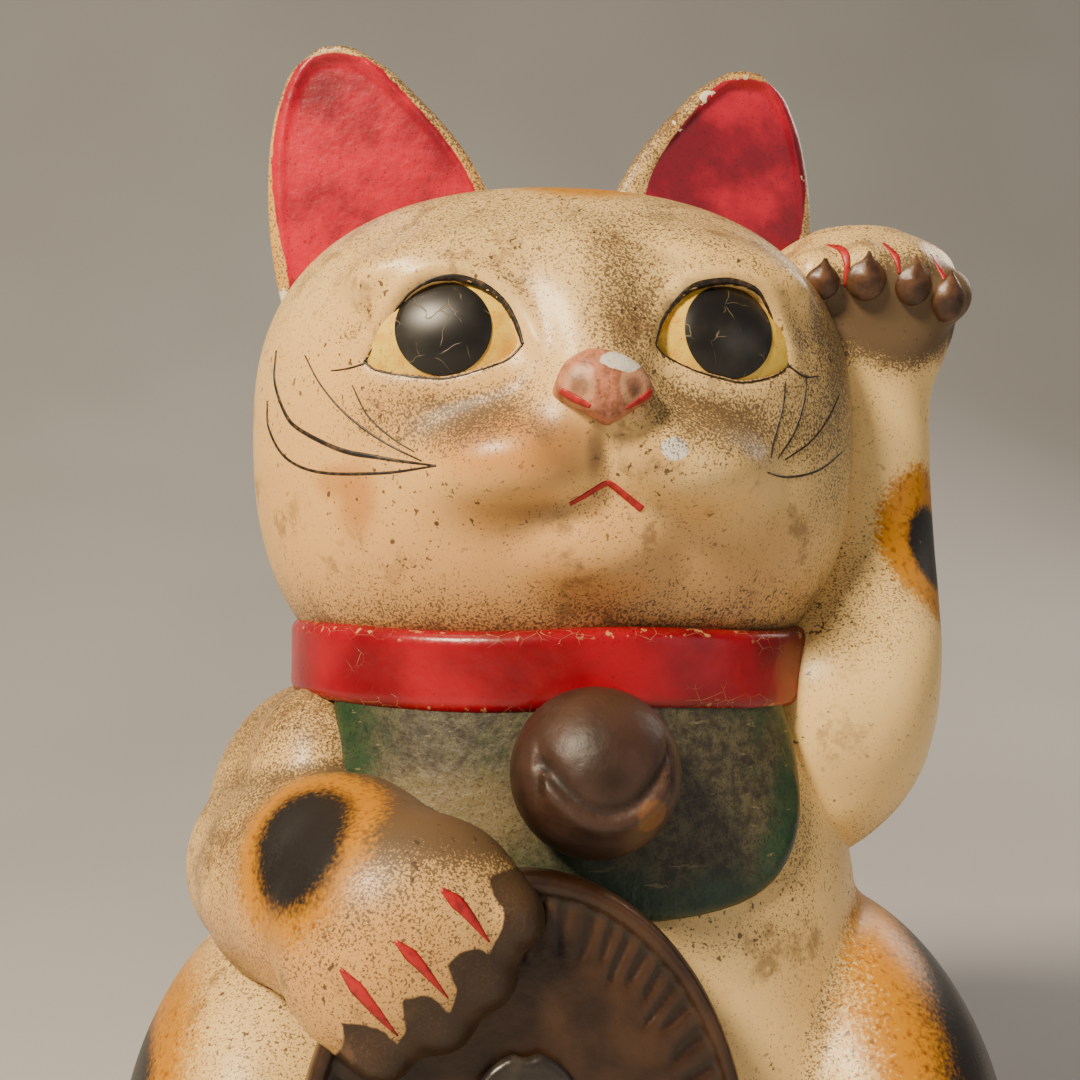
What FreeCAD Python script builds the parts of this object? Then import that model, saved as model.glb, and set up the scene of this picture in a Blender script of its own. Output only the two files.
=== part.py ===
"""Beckoning cat figurine: a slip-cast earthenware money bank, painted over a white ground.

Millimetres. +Z is up, the cat looks along -Y, and the cat's left side is +X. The origin is the
centre of the flat foot ring that the cat stands on.

The hollow body and the hollow head are two castings that meet at the neck. Ears, both arms, hind
feet, tail, collar, bib, bell, coin, eyes, nose and paw pads are smaller clay pieces, luted on with
slip. A rubber stopper closes the hole in the base and is the only piece that moves.
"""

import FreeCAD
import Part
import math
import os

from FreeCAD import Vector

# ---- driving sizes ---------------------------------------------------------------------------
NECK_Z = 120.0  # the flat seam between the body and the head
HEAD_HALF_WIDTH = 53.0
HEAD_FRONT = 47.0
HEAD_BACK = 44.0
HEAD_TOP_Z = 200.4
HEAD_WIDEST_Z = 158.0
HEAD_BOTTOM_REACH = 50.0  # how far below its widest level the head's oval would close
HEAD_SQUARENESS = 2.5

BODY_HALF_WIDTH = 52.0
BODY_FRONT = 47.0
BODY_BACK = 50.0
NECK_HALF_WIDTH = 42.0
NECK_FRONT = 40.0
NECK_BACK = 37.0

WALL = 4.5  # fired wall of every hollow casting
BASE_WALL = 5.0
FOOT_RECESS = 5.0  # how far the base is set up inside the foot ring
FOOT_RING_WIDTH = 9.0

STOPPER_HOLE_RADIUS = 17.0
STOPPER_Y = 2.0
STOPPER_CLEARANCE = 0.1
STOPPER_LIP = 3.0  # how far the lip reaches beyond the hole
STOPPER_LIP_THICKNESS = 1.8
STOPPER_TAB_THICKNESS = 2.4
STOPPER_FLOOR_GAP = 0.5

SLOT_LENGTH = 36.0
SLOT_HEIGHT = 4.8
SLOT_Z = 98.0

NECK_OPENING_RADIUS = 27.0  # joins the hollow of the body to the hollow of the head
VENT_RADIUS = 3.0  # lets steam out of the raised arm while it is fired

COLLAR_HEIGHT = 13.2
COLLAR_THICKNESS = 3.6
BIB_THICKNESS = 2.2
BIB_HALF_WIDTH = 36.5
BIB_X = -2.0
BIB_BOTTOM_Z = 83.0
BELL_RADIUS = 12.6

COIN_HALF_WIDTH = 32.0
COIN_HALF_HEIGHT = 42.5
COIN_THICKNESS = 6.0
COIN_X = -12.0
COIN_Z = 51.5
COIN_FACE_Y = -61.0
COIN_LEAN = 4.0  # degrees that its top leans back
CREST_PETAL_RADIUS = 7.4

HAUNCH_X = 45.0
SHOULDER_INSET = 1.0  # how far inside the neck's half width the right shoulder is centred
EAR_RISE = 27.2  # how far the ears stand above the crown
PAW_DROP = 3.2  # how far the raised paw's top is below the crown
EYE_X = 22.5
EYE_Z = 171.0
EYE_HALF_WIDTH = 11.6
EYE_HALF_HEIGHT = 7.3
EYE_DEPTH = 5.0
EYE_PROUD = 1.8  # how far an eye stands out of the face
NOSE_Z = 162.0
PAD_RADIUS = 4.2
PAD_PROUD = 1.8
EAR_X = 31.0
EAR_RIM = 3.4
EAR_TURN = 12.0  # degrees that each ear faces outwards

OUTLINE_POINTS = 20  # spline points round each cross-section


# ---- clay shapes -----------------------------------------------------------------------------
def section(z, half_width, front, back, squareness=2.2, x=0.0, y=0.0):
    """A level closed outline: an oval with its own reach to the front and to the back."""
    points = []
    for i in range(OUTLINE_POINTS):
        turn = 2 * math.pi * (i + 0.5) / OUTLINE_POINTS
        across, along = math.cos(turn), math.sin(turn)
        reach = back if along > 0 else front
        points.append(
            Vector(
                x + half_width * math.copysign(abs(across) ** (2 / squareness), across),
                y + reach * math.copysign(abs(along) ** (2 / squareness), along),
                z,
            )
        )
    outline = Part.BSplineCurve()
    outline.interpolate(points, PeriodicFlag=True)
    return Part.Wire(outline.toShape())


def lofted(levels, shrink=0.0):
    """A smooth solid through level sections, each drawn in by shrink for an inner wall."""
    wires = []
    for level in levels:
        z, half_width, front, back = level[:4]
        squareness, x, y = (level[4:] + (2.2, 0.0, 0.0)[len(level) - 4:])[:3]
        wires.append(
            section(z, half_width - shrink, front - shrink, back - shrink, squareness, x, y)
        )
    return Part.makeLoft(wires, True, False, False)


def ellipsoid(centre, semi_axes, turns=()):
    """A ball stretched to three semi-axes, then turned about its centre: (axis, degrees) pairs."""
    stretch = FreeCAD.Matrix()
    stretch.scale(*semi_axes)
    ball = Part.makeSphere(1.0).transformGeometry(stretch)
    for axis, degrees in turns:
        ball.rotate(Vector(0, 0, 0), axis, degrees)
    ball.translate(Vector(*centre))
    return ball


def biggest(shape):
    """The largest solid of a cut, which drops the slivers left by curved faces."""
    return max(shape.Solids, key=lambda solid: solid.Volume)


def luted(piece, *neighbours):
    """The piece with its back shaped to sit on its neighbours, as soft clay is pressed on."""
    for neighbour in neighbours:
        piece = biggest(piece.cut(neighbour))
    return piece


def front_of(shape, x, z):
    """How far forward a shape reaches at x and z."""
    sight = Part.makeLine(Vector(x, -150.0, z), Vector(x, 0.0, z))
    return shape.common(sight).BoundBox.YMin


def above(shape, z):
    """The part of a shape above a level."""
    size = 400.0
    block = Part.makeBox(size, size, size, Vector(-size / 2, -size / 2, z))
    return biggest(shape.common(block))


X_AXIS, Y_AXIS, Z_AXIS = Vector(1, 0, 0), Vector(0, 1, 0), Vector(0, 0, 1)


# ---- body casting ----------------------------------------------------------------------------
def body_levels():
    """The torso up to the neck: height, half width, front, back. It is cut off level at z = 0."""
    return [
        (-6.0, BODY_HALF_WIDTH - 1, BODY_FRONT - 1, BODY_BACK - 5, 2.4),
        (0.0, BODY_HALF_WIDTH + 2, BODY_FRONT + 2, BODY_BACK - 2, 2.4),
        (12.0, BODY_HALF_WIDTH + 6, BODY_FRONT + 5, BODY_BACK + 2, 2.4),
        (35.0, BODY_HALF_WIDTH + 5, BODY_FRONT + 5, BODY_BACK + 4, 2.3),
        (65.0, BODY_HALF_WIDTH + 2, BODY_FRONT + 2, BODY_BACK + 1, 2.3),
        (90.0, BODY_HALF_WIDTH - 1, BODY_FRONT - 2, BODY_BACK - 5, 2.3),
        (107.0, NECK_HALF_WIDTH + 4, NECK_FRONT + 2, NECK_BACK + 3, 2.2),
        (NECK_Z, NECK_HALF_WIDTH, NECK_FRONT, NECK_BACK, 2.2),
    ]


def haunch(side, shrink=0.0):
    """A folded hind leg, which swells out of the body: side is 1 on the cat's left."""
    semi_axes = (27.5 - shrink, 47.0 - shrink, 42.0 - shrink)
    return ellipsoid((side * HAUNCH_X, -8.0, 37.5), semi_axes, [(Z_AXIS, side * 8.0)])


def body_outside():
    shape = lofted(body_levels())
    for side in (-1, 1):
        shape = shape.fuse(haunch(side))
    return above(shape, 0.0)


def body_hollow():
    """The chamber: the torso and haunches drawn in by the wall, from the base to the neck."""
    shape = lofted(body_levels(), WALL)
    for side in (-1, 1):
        shape = shape.fuse(haunch(side, WALL))
    chamber = above(shape, FOOT_RECESS + BASE_WALL)
    throat = Part.makeCylinder(NECK_OPENING_RADIUS, WALL + 2, Vector(0, 0, NECK_Z - WALL - 1))
    size = 400.0
    under_shoulder = Part.makeBox(size, size, NECK_Z - WALL, Vector(-size / 2, -size / 2, 0))
    return chamber.common(under_shoulder).fuse(throat)


def foot_hollow():
    """The recess inside the foot ring, so that the cat stands on the ring alone."""
    sole = body_levels()[1]
    oval = tuple(reach - FOOT_RING_WIDTH for reach in sole[1:4]) + sole[4:]
    return lofted([(-1.0,) + oval, (FOOT_RECESS,) + oval])


def coin_slot():
    """A level slot through the wall of the back, with rounded ends."""
    depth = 40.0
    y = 20.0
    straight = SLOT_LENGTH - SLOT_HEIGHT
    corner = Vector(-straight / 2, y, SLOT_Z - SLOT_HEIGHT / 2)
    slot = Part.makeBox(straight, depth, SLOT_HEIGHT, corner)
    for side in (-1, 1):
        end = Vector(side * straight / 2, y, SLOT_Z)
        slot = slot.fuse(Part.makeCylinder(SLOT_HEIGHT / 2, depth, end, Y_AXIS))
    return slot


def base_hole():
    return Part.makeCylinder(STOPPER_HOLE_RADIUS, BASE_WALL + 2, Vector(0, STOPPER_Y, FOOT_RECESS - 1))


def arm_vent():
    """A drilled way from the raised arm's hollow into the body."""
    return Part.makeCylinder(VENT_RADIUS, 34.0, Vector(26.0, 2.0, 103.0), X_AXIS)


# ---- head casting ----------------------------------------------------------------------------
def head_level(z):
    """One level of the head's oval, with cheeks fullest at HEAD_WIDEST_Z."""
    reach = HEAD_TOP_Z - HEAD_WIDEST_Z if z > HEAD_WIDEST_Z else HEAD_BOTTOM_REACH
    up = abs(z - HEAD_WIDEST_Z) / reach
    share = (1 - up**HEAD_SQUARENESS) ** (1 / HEAD_SQUARENESS)
    return (z, HEAD_HALF_WIDTH * share, HEAD_FRONT * share, HEAD_BACK * share, 2.2)


def head_outside(shrink=0.0):
    drop = HEAD_TOP_Z - HEAD_WIDEST_Z
    heights = [NECK_Z, 128.0, 138.0, 148.0]
    heights += [HEAD_WIDEST_Z + drop * up for up in (0.0, 0.25, 0.5, 0.7, 0.85, 0.95, 0.99)]
    return lofted([head_level(z) for z in heights], shrink)


def muzzle():
    """The two puffs beside the mouth, the chin and the bridge of the nose."""
    shape = ellipsoid((0.0, -36.0, 163.0), (10.0, 16.5, 16.0))
    shape = shape.fuse(ellipsoid((0.0, -33.0, 138.0), (20.0, 14.5, 13.0)))
    for side in (-1, 1):
        shape = shape.fuse(ellipsoid((side * 11.0, -33.0, 150.0), (22.0, 18.5, 17.5)))
    return shape


def head_hollow():
    chamber = above(head_outside(WALL), NECK_Z + WALL)
    top = Part.makeBox(400.0, 400.0, 400.0, Vector(-200, -200, HEAD_TOP_Z - 2 * WALL))
    throat = Part.makeCylinder(NECK_OPENING_RADIUS, WALL + 2, Vector(0, 0, NECK_Z - 1))
    return chamber.cut(top).fuse(throat)


# ---- small clay pieces -----------------------------------------------------------------------
def ear_levels():
    """An ear from its root in the head to its tip: height, inner edge, outer edge, back."""
    top = HEAD_TOP_Z + EAR_RISE
    return [
        (top - 49.6, 7.0, 47.0, 12.0),
        (top - 37.6, 8.0, 50.0, 11.0),
        (top - 24.6, 11.5, 51.0, 9.5),
        (top - 15.6, 17.2, 50.4, 8.0),
        (top - 7.9, 24.2, 48.6, 6.0),
        (top - 2.4, 30.2, 45.6, 4.0),
        (top, 34.2, 42.4, 1.8),
    ]


def ear(side):
    """A broad upright ear with a shallow dished front, turned a little outwards."""
    outside, dish = [], []
    for z, inner, outer, back in ear_levels():
        middle, half = (inner + outer) / 2, (outer - inner) / 2
        outside.append((z, half, min(3.0, half), back, 2.3, middle, 0.0))
        if half > EAR_RIM + 2:
            dish.append((z - EAR_RIM, half - EAR_RIM, 2.0, 1.6, 2.3, middle, -min(3.0, half)))
    clay = lofted(outside).cut(lofted(dish))
    clay.rotate(Vector(EAR_X, 0, 0), Z_AXIS, EAR_TURN)
    clay.translate(Vector(0, 4.0, 0))
    if side < 0:
        clay = clay.mirror(Vector(0, 0, 0), X_AXIS)
    return clay


def raised_arm_levels():
    """The cat's left arm, from its elbow to the paw: height, half width, front, back, centre."""
    top = HEAD_TOP_Z - PAW_DROP
    return [
        (84.0, 4.0, 5.0, 5.0, 2.0, 44.0, -8.0),
        (87.0, 9.0, 11.0, 10.0, 2.0, 43.8, -8.0),
        (91.5, 13.6, 16.0, 15.5, 2.1, 44.2, -8.0),
        (99.0, 17.3, 20.5, 19.5, 2.2, 45.6, -8.0),
        (107.0, 18.8, 24.0, 21.0, 2.2, 46.4, -8.0),
        (120.0, 19.0, 24.6, 20.5, 2.2, 48.0, -7.0),
        (130.0, 17.4, 20.5, 19.0, 2.2, 51.0, -4.0),
        (140.0, 15.6, 16.5, 16.5, 2.2, 53.8, -1.0),
        (top - 41.0, 14.4, 14.5, 14.5, 2.2, 55.3, 1.0),
        (top - 31.0, 14.2, 14.0, 13.5, 2.2, 55.8, 1.0),
        (top - 19.0, 17.2, 17.5, 14.0, 2.3, 56.6, 0.0),
        (top - 10.0, 18.0, 17.5, 12.5, 2.3, 57.0, -1.0),
        (top - 3.0, 14.8, 13.0, 9.0, 2.2, 56.4, -1.5),
        (top, 8.0, 7.0, 5.0, 2.0, 56.0, -1.5),
    ]


def raised_arm(body, head):
    """The beckoning arm, hollow between its elbow and its wrist."""
    arm = lofted(raised_arm_levels()).cut(lofted(raised_arm_levels()[3:11], WALL))
    return luted(arm, body, head)


def forearm_stations():
    """The cat's right forearm from its elbow to its wrist: centre and radius."""
    return [
        ((-51.0, 5.0, 86.0), 9.0),
        ((-49.0, -3.0, 86.0), 14.5),
        ((-45.6, -13.0, 86.5), 17.0),
        ((-41.5, -27.0, 87.0), 17.2),
        ((-36.5, -38.0, 87.4), 16.9),
        ((-31.5, -48.0, 87.0), 15.4),
        ((-28.5, -55.0, 86.4), 10.5),
    ]


def limb(stations):
    """A smooth limb through round sections set square to its path."""
    wires = []
    last = len(stations) - 1
    for i, (centre, radius) in enumerate(stations):
        ahead = Vector(*stations[min(i + 1, last)][0]) - Vector(*stations[max(i - 1, 0)][0])
        ahead.normalize()
        aside = ahead.cross(Z_AXIS)
        aside.normalize()
        upward = aside.cross(ahead)
        points = []
        for k in range(OUTLINE_POINTS):
            turn = 2 * math.pi * k / OUTLINE_POINTS
            spoke = aside * (radius * math.cos(turn)) + upward * (radius * math.sin(turn))
            points.append(Vector(*centre) + spoke)
        ring = Part.BSplineCurve()
        ring.interpolate(points, PeriodicFlag=True)
        wires.append(Part.Wire(ring.toShape()))
    return Part.makeLoft(wires, True, False, False)


def lowered_arm(body, coin):
    """The cat's right arm: it comes down from the shoulder and lays its paw on the coin."""
    x = SHOULDER_INSET - NECK_HALF_WIDTH
    shoulder = ellipsoid((x, -3.0, 89.5), (19.5, 22.0, 26.0))
    chest_side = ellipsoid((x, -16.0, 99.0), (12.0, 17.0, 17.0))
    paw = ellipsoid((-28.2, -57.0, 85.0), (18.0, 10.5, 15.0), [(Y_AXIS, -44.0)])
    clay = shoulder.fuse(chest_side).fuse(limb(forearm_stations())).fuse(paw)
    return luted(clay, body, coin)


def hind_foot(side, body):
    foot = ellipsoid((side * 33.0, -50.0, 7.0), (15.5, 20.0, 11.0), [(Z_AXIS, -side * 6.0)])
    return luted(above(foot, 0.0), body)


def tail(body):
    """A short tail that lies round the back of the base."""
    stub = ellipsoid((20.0, 50.0, 11.0), (22.0, 11.0, 11.5), [(Z_AXIS, -16.0)])
    return luted(above(stub, 0.0), body)


def collar_band(body, head, arm):
    """A flat band pressed over the neck seam."""
    half = COLLAR_HEIGHT / 2
    reach = COLLAR_THICKNESS
    levels = []
    for dz, proud in ((-half, reach - 0.8), (-half + 2, reach), (half - 2, reach + 0.6), (half, reach)):
        levels.append(
            (NECK_Z + dz, NECK_HALF_WIDTH + proud, NECK_FRONT + proud, NECK_BACK + proud)
        )
    return luted(lofted(levels), body, head, arm)


def bib(body, collar, arm, paw):
    """A cloth shape pressed on the chest: square shoulders and a rounded lower edge."""
    grown = lofted(body_levels(), -BIB_THICKNESS)
    top = NECK_Z - COLLAR_HEIGHT / 2
    drop = top - BIB_BOTTOM_Z
    edge = []
    for i in range(25):
        turn = math.pi * i / 24
        across, down = math.cos(turn), math.sin(turn)
        edge.append(
            Vector(
                BIB_X + BIB_HALF_WIDTH * math.copysign(abs(across) ** 0.6, across),
                -80.0,
                top - drop * down**0.6,
            )
        )
    lower = Part.BSplineCurve()
    lower.interpolate(edge)
    straight = Part.LineSegment(edge[-1], edge[0])
    face = Part.Face(Part.Wire([lower.toShape(), straight.toShape()]))
    cutter = face.extrude(Vector(0, 72.0, 0))
    return luted(grown.common(cutter), body, collar, arm, paw)


def bell(*behind):
    """A round jingle bell: a ball with a curved slot across its front."""
    centre = Vector(0.0, -51.0, 106.3)
    ball = Part.makeSphere(BELL_RADIUS, centre)
    slot = Part.makeTorus(12.0, 0.9, centre + Vector(0, -BELL_RADIUS + 2.6, 9.0), Y_AXIS)
    lower = Part.makeBox(16.0, 40.0, 20.0, centre + Vector(-8, -20, -20.5))
    return luted(ball.cut(slot.common(lower)), *behind)


def coin_blank(half_width, half_height, thickness, y):
    """An upright oval plate with its front face at y, leaning back with the belly."""
    oval = Part.Ellipse(Vector(0, 0, 0), half_height, half_width)
    disc = Part.Face(Part.Wire(oval.toShape()))
    plate = disc.extrude(Vector(0, 0, thickness))
    plate.rotate(Vector(0, 0, 0), Z_AXIS, 90.0)
    plate.rotate(Vector(0, 0, 0), X_AXIS, -90.0)
    plate.translate(Vector(0, y, 0))
    plate.rotate(Vector(0, 0, 0), X_AXIS, -COIN_LEAN)
    plate.translate(Vector(COIN_X, 0, COIN_Z))
    return plate


def coin(body):
    """The oval gold coin, with a raised rim round its face."""
    rim_width, rim_height = 3.0, 1.2
    plate = coin_blank(COIN_HALF_WIDTH, COIN_HALF_HEIGHT, COIN_THICKNESS, COIN_FACE_Y)
    face = coin_blank(
        COIN_HALF_WIDTH - rim_width, COIN_HALF_HEIGHT - rim_width, rim_height, COIN_FACE_Y
    )
    return luted(plate.cut(face), body)


def coin_crest():
    """A raised five-petalled blossom in the middle of the coin."""
    thickness = 2.4
    petals = Part.makeCylinder(CREST_PETAL_RADIUS, thickness)
    for i in range(5):
        turn = math.radians(90 + 72 * i)
        spoke = Vector(math.cos(turn), math.sin(turn), 0) * (1.45 * CREST_PETAL_RADIUS)
        petals = petals.fuse(Part.makeCylinder(CREST_PETAL_RADIUS, thickness, spoke))
    petals.rotate(Vector(0, 0, 0), X_AXIS, -90.0)
    petals.translate(Vector(0, COIN_FACE_Y - 1.2, 0))
    petals.rotate(Vector(0, 0, 0), X_AXIS, -COIN_LEAN)
    petals.translate(Vector(COIN_X, 0, COIN_Z))
    return petals.removeSplitter()


def eye(side, head):
    """A domed almond set in the face, level with the cheek at its rim."""
    y = front_of(head, side * EYE_X, EYE_Z)
    dome = ellipsoid(
        (side * EYE_X, y + EYE_DEPTH - EYE_PROUD, EYE_Z),
        (EYE_HALF_WIDTH, EYE_DEPTH, EYE_HALF_HEIGHT),
        [(Y_AXIS, side * 8.0), (Z_AXIS, side * 22.0), (X_AXIS, -14.0)],
    )
    return luted(dome, head)


def nose(head):
    y = front_of(head, 0.0, NOSE_Z)
    return luted(ellipsoid((0.0, y, NOSE_Z), (7.2, 3.0, 5.6)), head)


def paw_pads(arm, head):
    """Four small round toe pads across the raised paw, in one node."""
    top = HEAD_TOP_Z - PAW_DROP
    pads = []
    for x, z in ((44.4, top - 13.1), (52.1, top - 12.4), (60.6, top - 12.8), (67.6, top - 14.1)):
        y = front_of(arm, x, z) + PAD_RADIUS - PAD_PROUD
        pads.append(luted(Part.makeSphere(PAD_RADIUS, Vector(x, y, z)), arm, head))
    return Part.makeCompound(pads)


# ---- stopper ---------------------------------------------------------------------------------
def base_stopper():
    """A rubber plug: a shank in the hole, a lip under the base and a bar to pull it by."""
    radius = STOPPER_HOLE_RADIUS - STOPPER_CLEARANCE
    lip_z = FOOT_RECESS - STOPPER_LIP_THICKNESS
    centre = Vector(0, STOPPER_Y, 0)
    shank = Part.makeCone(
        radius, radius - 0.6, BASE_WALL + 3, centre + Vector(0, 0, FOOT_RECESS - 0.5)
    )
    lip = Part.makeCylinder(
        STOPPER_HOLE_RADIUS + STOPPER_LIP, STOPPER_LIP_THICKNESS - 0.1, centre + Vector(0, 0, lip_z)
    )
    cup = Part.makeCylinder(
        radius - 3, BASE_WALL + 2, centre + Vector(0, 0, FOOT_RECESS + 1.5)
    )
    tab_height = lip_z - STOPPER_FLOOR_GAP
    tab = Part.makeBox(
        2 * STOPPER_HOLE_RADIUS * 0.7,
        STOPPER_TAB_THICKNESS,
        tab_height,
        centre + Vector(-STOPPER_HOLE_RADIUS * 0.7, -STOPPER_TAB_THICKNESS / 2, STOPPER_FLOOR_GAP),
    )
    return shank.fuse(lip).cut(cup).fuse(tab).removeSplitter()


# ---- the whole figure ------------------------------------------------------------------------
def build():
    body_solid = body_outside()
    head_solid = head_outside().fuse(muzzle())
    head_solid = above(head_solid, NECK_Z)

    nodes = {}
    coin_piece = coin(body_solid)
    arm_up = lofted(raised_arm_levels())
    arm_down = lowered_arm(body_solid, coin_piece)
    band = collar_band(body_solid, head_solid, arm_up)
    chest = bib(body_solid, band, arm_up, arm_down)
    chest = luted(chest, coin_piece)

    nodes["body_casting"] = (
        body_solid.cut(body_hollow()).cut(foot_hollow()).cut(base_hole()).cut(coin_slot()).cut(arm_vent())
    )
    nodes["head_casting"] = head_solid.cut(head_hollow())
    nodes["raised_arm"] = raised_arm(body_solid, head_solid).cut(arm_vent())
    nodes["lowered_arm"] = luted(arm_down, band)
    nodes["collar_band"] = luted(band, arm_down)
    nodes["bib"] = chest
    nodes["bell"] = bell(body_solid, band, chest, coin_piece)
    nodes["coin"] = coin_piece
    nodes["coin_crest"] = luted(coin_crest(), coin_piece, arm_down)
    nodes["nose"] = nose(head_solid)
    nodes["paw_pads"] = paw_pads(arm_up, head_solid)
    nodes["tail"] = tail(body_solid)
    for side, name in ((-1, "right"), (1, "left")):
        nodes[name + "_ear"] = luted(ear(side), head_solid, arm_up)
        nodes[name + "_eye"] = eye(side, head_solid)
        nodes[name + "_hind_foot"] = luted(hind_foot(side, body_solid), coin_piece)
    nodes["base_stopper"] = base_stopper()
    return nodes


def main():
    os.makedirs("parts", exist_ok=True)
    for name, shape in build().items():
        if shape.isNull() or not shape.isValid():
            print("not valid:", name)
        shape.exportStep(os.path.join("parts", name + ".step"))
        box = shape.BoundBox
        print(
            f"{name}: {len(shape.Solids)} solid, {shape.Volume / 1000:.1f} cm3,"
            f" x {box.XMin:.1f}..{box.XMax:.1f} y {box.YMin:.1f}..{box.YMax:.1f} z {box.ZMin:.1f}..{box.ZMax:.1f}"
        )


main()
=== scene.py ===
import math

import bmesh
import bpy
import numpy as np
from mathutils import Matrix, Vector
from mathutils.bvhtree import BVHTree


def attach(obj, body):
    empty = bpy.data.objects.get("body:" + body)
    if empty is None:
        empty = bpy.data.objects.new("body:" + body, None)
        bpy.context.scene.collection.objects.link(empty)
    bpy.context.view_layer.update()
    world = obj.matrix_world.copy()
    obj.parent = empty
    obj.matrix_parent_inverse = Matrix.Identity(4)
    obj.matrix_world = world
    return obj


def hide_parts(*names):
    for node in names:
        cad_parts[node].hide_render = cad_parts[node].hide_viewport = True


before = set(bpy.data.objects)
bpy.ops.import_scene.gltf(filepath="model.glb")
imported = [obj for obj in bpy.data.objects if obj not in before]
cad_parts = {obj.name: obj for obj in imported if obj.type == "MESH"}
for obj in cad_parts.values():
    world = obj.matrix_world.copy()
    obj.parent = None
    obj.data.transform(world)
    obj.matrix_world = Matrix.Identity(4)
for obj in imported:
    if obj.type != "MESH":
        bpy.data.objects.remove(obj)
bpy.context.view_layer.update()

# ---- body casting ----------------------------------------------------------------------------
# The hollow torso with both folded hind legs. It is slip-cast earthenware, fired, then painted with
# a cream ground; spots are airbrushed on, and the varnish has yellowed and picked up soot.
# All clay shapes below are in millimetres and are turned into metres when their mesh is made.


def turned(turns):
    """The matrix of several turns, each an axis letter and degrees, made one after another."""
    matrix = np.eye(3)
    for axis, degrees in turns:
        c, s = math.cos(math.radians(degrees)), math.sin(math.radians(degrees))
        step = {
            "X": [[1, 0, 0], [0, c, -s], [0, s, c]],
            "Y": [[c, 0, s], [0, 1, 0], [-s, 0, c]],
            "Z": [[c, -s, 0], [s, c, 0], [0, 0, 1]],
        }[axis]
        matrix = np.array(step) @ matrix
    return matrix


def oval(p, centre, reach, turns=()):
    """Distance to a lump of clay pressed to three half-widths."""
    local = ((p - np.array(centre)) @ turned(turns)) / np.array(reach)
    near = np.linalg.norm(local, axis=1)
    slope = np.maximum(np.linalg.norm(local / np.array(reach), axis=1), 1e-9)
    return near * (near - 1) / slope


def roll(p, start, end, thick, thin):
    """Distance to a tapered roll of clay between two points."""
    start, end = np.array(start, float), np.array(end, float)
    along = end - start
    share = np.clip((p - start) @ along / (along @ along), 0, 1)
    return np.linalg.norm(p - start - share[:, None] * along, axis=1) - (thick + (thin - thick) * share)


def join(a, b, soft):
    """Two lumps smoothed together with a fillet."""
    share = np.clip(0.5 + 0.5 * (b - a) / soft, 0, 1)
    return b + (a - b) * share - soft * share * (1 - share)


def carve(a, b, soft):
    """The first lump with the second one taken out of it."""
    return -join(-a, b, soft)


def stack(p, levels):
    """Distance to a form given by level ovals: height, half width, front, back, power, x, y."""
    table = np.array([list(level) + [2.2, 0.0, 0.0][len(level) - 4:] for level in levels], float)
    z = np.clip(p[:, 2], table[0, 0], table[-1, 0])
    fine = np.linspace(table[0, 0], table[-1, 0], 240)
    slopes = np.gradient(table[:, 1:], table[:, 0], axis=0)
    i = np.clip(np.searchsorted(table[:, 0], fine) - 1, 0, len(table) - 2)
    gap = (table[i + 1, 0] - table[i, 0])[:, None]
    t = (fine[:, None] - table[i, 0][:, None]) / gap
    curve = (
        (1 + 2 * t) * (1 - t) ** 2 * table[i, 1:]
        + t * (1 - t) ** 2 * gap * slopes[i]
        + t * t * (3 - 2 * t) * table[i + 1, 1:]
        + t * t * (t - 1) * gap * slopes[i + 1]
    )
    half, front, back, power, x, y = [np.interp(z, fine, curve[:, k]) for k in range(6)]
    dx, dy = p[:, 0] - x, p[:, 1] - y
    reach = np.where(dy > 0, back, front)
    h = (np.abs(dx / np.maximum(half, 0.1)) ** power + np.abs(dy / np.maximum(reach, 0.1)) ** power) ** (
        1 / power
    )
    out = np.hypot(dx, dy)
    side = out - out / np.maximum(h, 1e-6)
    side = np.where(out < 1e-6, -np.minimum(half, reach), side)
    return np.maximum(side, np.maximum(table[0, 0] - p[:, 2], p[:, 2] - table[-1, 0]))


def slopes_of(shape, p, step=0.3):
    """Which way the clay surface faces at each point."""
    rise = np.empty_like(p)
    for k in range(3):
        shift = np.zeros(3)
        shift[k] = step
        rise[:, k] = (shape(p + shift) - shape(p - shift)) / (2 * step)
    return rise


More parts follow.
